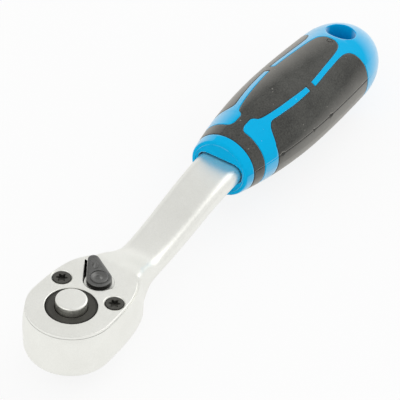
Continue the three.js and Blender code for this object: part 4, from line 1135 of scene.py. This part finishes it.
def handle_skin(name, rings, growth):
    """Rolls a grid round the handle's rings, and marks what the soft grip covers with the second material."""
    piece = flat_grid(name, rings)
    for face in piece.data.polygons:
        column = int((face.center.x + 0.5) * len(rings[0]))
        row = int((face.center.y + 0.5) * (len(rings) - 1))
        first, second = rings[row][0], rings[row + 1][0]
        outside = min(first[1], second[1]) > COLLAR_RADIUS - COLLAR_ROUND
        covered = outside and pad_covers(column, (first[0] + second[0]) / 2, growth)
        face.material_index = COVERED if covered else BARE
    roll(piece, rings)
    for slot_name in ("bare", "covered"):
        piece.data.materials.append(bpy.data.materials.new(slot_name))
    return piece


def pick_faces(piece, kind):
    bpy.ops.mesh.select_mode(type="FACE")
    bpy.ops.mesh.select_all(action="DESELECT")
    for face in bmesh.from_edit_mesh(piece.data).faces:
        face.select_set(face.material_index == kind)
    bmesh.update_edit_mesh(piece.data)


def body_rings(growth):
    rings = [oval_ring(x, handle_radius(x), growth, True) for x in handle_stations(growth)]
    for i in range(1, HEEL_STEPS + 1):
        angle = HEEL_LAST * i / HEEL_STEPS
        x = HANDLE_END - HEEL_LENGTH + HEEL_LENGTH * sin(angle)
        rings.append(oval_ring(x, HEEL_RADIUS * cos(angle), growth))
    return rings


def collar_rings(growth):
    """From the tang's socket out through the shank's slot, over the recessed front to the collar's round."""
    front = HANDLE_FRONT
    deep = seat_end + TANG_LENGTH + TANG_GAP
    seat = seat_end + TANG_GAP
    tang = (TANG_HALF_WIDTH + TANG_GAP, TANG_HALF_THICKNESS + TANG_GAP, TANG_ROUND)
    slot_height = SHANK_HALF_THICKNESS + SLOT_GAP + SLOT_ROOF / 2
    slot_size = (SHANK_HALF_AT_HANDLE + SLOT_GAP, slot_height, SHANK_ROUND + SLOT_GAP)
    mouth_size = [size + SLOT_EDGE for size in slot_size]
    floor = front + COLLAR_RECESS
    slot_middle = shank_middle(floor) + SLOT_ROOF / 2
    inner = COLLAR_RADIUS - COLLAR_RIM
    rings = [slot_ring(x, handle_axis(x), *tang, growth) for x in (deep, seat)]
    rings += [slot_ring(seat, shank_middle(seat), *slot_size, growth)]
    rings += [slot_ring(floor + SLOT_EDGE, slot_middle, *slot_size, growth)]
    rings += [slot_ring(floor, slot_middle, *mouth_size, growth)]
    rings += [oval_ring(floor, inner - RECESS_EDGE, growth), oval_ring(floor - RECESS_EDGE, inner, growth)]
    rings += [oval_ring(front + behind, inner + out, growth) for behind, out in COLLAR_RIM_STEPS]
    for i in range(COLLAR_ROUND_STEPS):
        angle = pi / 2 * i / COLLAR_ROUND_STEPS
        x = front + COLLAR_ROUND * (1 - cos(angle))
        rings.append(oval_ring(x, handle_radius(front) - COLLAR_ROUND * (1 - sin(angle)), growth))
    return rings


def near_skin(p):
    reach = hypot(p.y, (p.z - handle_axis(p.x)) / HANDLE_FLATNESS)
    return reach > handle_radius(p.x) - SKIN_DEPTH


def on_seat_edge(p):
    return BAND_X[0] - SEAT_MARGIN < p.x < SIDE_PAD_X[1] + SEAT_MARGIN and near_skin(p)


core = handle_skin("handle_core_moulded", collar_rings(SEAT_ROOM) + body_rings(SEAT_ROOM), SEAT_ROOM)
close(core)
edit(core)
pick_faces(core, COVERED)
bpy.ops.mesh.extrude_region()
for vertex in bmesh.from_edit_mesh(core.data).verts:
    if vertex.select:
        x, y, z = vertex.co / MM
        rise = z - handle_axis(x)
        keep = 1 - SEAT_DEPTH / hypot(y, rise)
        vertex.co = Vector((x, y * keep, handle_axis(x) + rise * keep)) * MM
bmesh.update_edit_mesh(core.data)
done()
soften(core, SEAT_EDGE, steps=2, wanted=on_seat_edge)


def hole_ring(offset, depth, way):
    """A ring of the hang hole that lies a depth under the handle's upper or lower skin."""
    ring = []
    for i in range(HOLE_SIDES):
        angle = tau * i / HOLE_SIDES
        x = HOLE_X + (HOLE_HALF_LENGTH + offset) * cos(angle)
        y = (HOLE_HALF_WIDTH + offset) * sin(angle)
        height = HANDLE_FLATNESS * sqrt(handle_radius(x) ** 2 - y * y) - depth
        ring.append((x, y, handle_axis(HOLE_X) + way * min(height, BELLY_RADIUS)))
    return ring


hole_edge = []
for angle in HOLE_ROUND_ANGLES:
    a = radians(angle)
    hole_edge.append((HOLE_ROUND * (1 - sin(a)), HOLE_ROUND * (1 - cos(a))))
flare = hole_edge[0][0] + HOLE_FLARE
hole_steps = [(flare, -BELLY_RADIUS), (flare, -HOLE_PROUD)] + hole_edge
hole_rings = [hole_ring(*step, -1) for step in hole_steps]
hole_rings += [hole_ring(*step, 1) for step in hole_steps[::-1]]
boolean(core, skin("cutter", hole_rings))
# The blue gets a painted sheen: lighter towards slanting views.
blue_plastic = finish(
    "blue_plastic", BLUE_TONES, (0.36, 0.5), metallic=0.0, scales=(1500, 60), depth=0.02,
    dust=BLUE_DUST, sheen=BLUE_PAINTED_SHEEN, specular=0.06)
fit(core, blue_plastic, "frame", "blue_plastic", "handle_core")


# Soft grip: the second shot, dark grey rubber moulded into the core's seats.
# A band, a neck strip, a top and a bottom pad and two side pads, joined across by short bridges.
# The mould's parting line runs along both sides, and the gate left a ring near the end of the top pad.
GRIP_THICKNESS = 1.8
PAD_EDGE = 0.3
GATE_X = 158.6
GATE_ANGLE = radians(92)
GATE_RADIUS = 1.15
GATE_LINE = 0.35
GATE_DEPTH = 0.35
GATE_HIGH = 0.6
GREY_TONES = ((0.015, 0.015, 0.013), (0.11, 0.11, 0.1))
GREY_DUST = (0.3, 0.29, 0.26)
GREY_PAINTED_SHEEN = (0.52, 0.5, 0.46)

grip = handle_skin("grip_overmould_soft", body_rings(0), 0)
edit(grip)
bpy.ops.mesh.remove_doubles(threshold=MERGE)
bpy.ops.mesh.normals_make_consistent(inside=False)
pick_faces(grip, BARE)
bpy.ops.mesh.delete(type="FACE")
bpy.ops.object.mode_set(mode="OBJECT")
modify(grip, "SOLIDIFY", thickness=GRIP_THICKNESS * MM, offset=-1)
soften(grip, PAD_EDGE, steps=3, wanted=near_skin)


def on_skin(x, angle):
    """A place on the handle's skin, with its Z axis out of the skin and its Y axis along the handle."""
    reach = handle_radius(x)
    spot = Vector((x, reach * cos(angle), handle_axis(x) + HANDLE_FLATNESS * reach * sin(angle)))
    outward = Vector((0, cos(angle), sin(angle)))
    along = Vector((1, 0, 0))
    turned = Matrix((along.cross(outward), along, outward)).transposed().to_4x4()
    return Matrix.Translation(spot * MM) @ turned


gate_inner = GATE_RADIUS - GATE_LINE
gate_profile = [(gate_inner, GATE_HIGH), (gate_inner, -GATE_DEPTH), (GATE_RADIUS, -GATE_DEPTH)]
gate = turn("cutter", gate_profile + [(GATE_RADIUS, GATE_HIGH), gate_profile[0]], steps=40)
gate.data.transform(on_skin(GATE_X, GATE_ANGLE))
boolean(grip, gate)
# The rubber gets a painted sheen: lighter towards slanting views.
grey_rubber = finish(
    "grey_rubber", GREY_TONES, (0.5, 0.7), metallic=0.0, scales=(1700, 70), depth=0.08,
    dust=GREY_DUST, sheen=GREY_PAINTED_SHEEN, specular=0.25)
fit(grip, grey_rubber, "frame", "grey_rubber", "grip_overmould")


# Table, light and camera: the tool lies on its drive square and its handle on a white table,
# under a soft sky with a softbox at one side and a fill in front, seen from the drive end and above.
CAMERA_RIGHT = Vector((0.5447, -0.8364, 0.0610))
CAMERA_UP = Vector((0.5092, 0.3876, 0.7685))
CAMERA_BACK = Vector((-0.6665, -0.3875, 0.6370))
CAMERA_PLACE = Vector((-0.42595, -0.29169, 0.47290 + PLATE_TOP * MM))
CAMERA_LENS = 198
CAMERA_SENSOR = 36
FLOOR_HALF = 1.5
BALANCE_X = 0.07
TABLE_TONE = (0.9, 0.9, 0.9, 1)
TABLE_GLOW = 0.85
WHITE = (1, 1, 1, 1)
SKY_TONES = ((0.0, 0.3), (0.05, 0.4), (0.12, 1.0), (0.34, 0.95), (0.62, 0.73), (0.9, 0.72), (1.0, 0.66))
LIGHT_AIM = (0.06, 0, 0.02)


def not_under(a, b, c):
    """True where b doesn't lie under the line from a to c."""
    return (b[0] - a[0]) * (c[1] - a[1]) <= (b[1] - a[1]) * (c[0] - a[0])


points = set()
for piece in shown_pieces():
    for vertex in piece.data.vertices:
        points.add((round(vertex.co.x, 5), vertex.co.z))
lower = []
for point in sorted(points):
    while len(lower) > 1 and not_under(lower[-2], lower[-1], point):
        lower.pop()
    lower.append(point)
spans = zip(lower, lower[1:])
(front_x, front_z), (rear_x, rear_z) = next((a, b) for a, b in spans if a[0] <= BALANCE_X < b[0])
slope = (rear_z - front_z) / (rear_x - front_x)

table = added("table", bpy.ops.mesh.primitive_plane_add, size=2 * FLOOR_HALF)
for vertex in table.data.vertices:
    vertex.co.z = front_z + slope * (vertex.co.x - front_x)
white = bpy.data.materials.new("white_table")
white.use_nodes = True
tree = white.node_tree
tree.nodes.remove(tree.nodes["Principled BSDF"])
matt = shader_node(tree, "BsdfDiffuse", {"Color": TABLE_TONE})
glow = shader_node(tree, "Emission", {})
path = shader_node(tree, "LightPath", {})
rays = {0: path.outputs["Is Camera Ray"], 1: path.outputs["Is Glossy Ray"]}
seen = shader_node(tree, "Math", rays, operation="ADD", use_clamp=True)
share = shader_node(tree, "Math", {0: seen.outputs[0], 1: TABLE_GLOW}, operation="MULTIPLY")
layers = {"Fac": share.outputs[0], 1: matt.outputs["BSDF"], 2: glow.outputs["Emission"]}
surface = shader_node(tree, "MixShader", layers)
tree.links.new(surface.outputs["Shader"], tree.nodes["Material Output"].inputs["Surface"])
table.data.materials.append(white)

world = bpy.data.worlds.new("studio")
bpy.context.scene.world = world
world.use_nodes = True
tree = world.node_tree
place = shader_node(tree, "TexCoord", {})
split = shader_node(tree, "SeparateXYZ", {"Vector": place.outputs["Generated"]})
ramp = shader_node(tree, "ValToRGB", {"Fac": split.outputs["Z"]})
while len(ramp.color_ramp.elements) < len(SKY_TONES):
    ramp.color_ramp.elements.new(1.0)
for element, (height, tone) in zip(ramp.color_ramp.elements, SKY_TONES):
    element.position = height
    element.color = (tone, tone, tone, 1)
path = shader_node(tree, "LightPath", {})
backdrop = blend(tree, path.outputs["Is Camera Ray"], ramp.outputs["Color"], WHITE)
sky = tree.nodes["Background"]
sky.inputs["Strength"].default_value = 1.0
tree.links.new(backdrop, sky.inputs["Color"])


def lamp(name, place, size, power):
    data = bpy.data.lights.new(name, "AREA")
    data.size = size
    data.energy = power
    light = bpy.data.objects.new(name, data)
    bpy.context.collection.objects.link(light)
    light.location = place
    light.rotation_euler = (Vector(LIGHT_AIM) - Vector(place)).to_track_quat("-Z", "Y").to_euler()


lamp("side_softbox", (0.73, -0.22, 0.74), size=0.8, power=2.2)
lamp("front_fill", (-0.7, 0.1, 0.45), size=0.8, power=1.2)

camera_data = bpy.data.cameras.new("camera")
camera_data.lens = CAMERA_LENS
camera_data.sensor_width = CAMERA_SENSOR
camera = bpy.data.objects.new("camera", camera_data)
bpy.context.collection.objects.link(camera)
turned = Matrix((CAMERA_RIGHT, CAMERA_UP, CAMERA_BACK)).transposed().to_4x4()
camera.matrix_world = Matrix.Translation(CAMERA_PLACE) @ turned
bpy.context.scene.camera = camera
bpy.context.scene.view_settings.view_transform = "Standard"
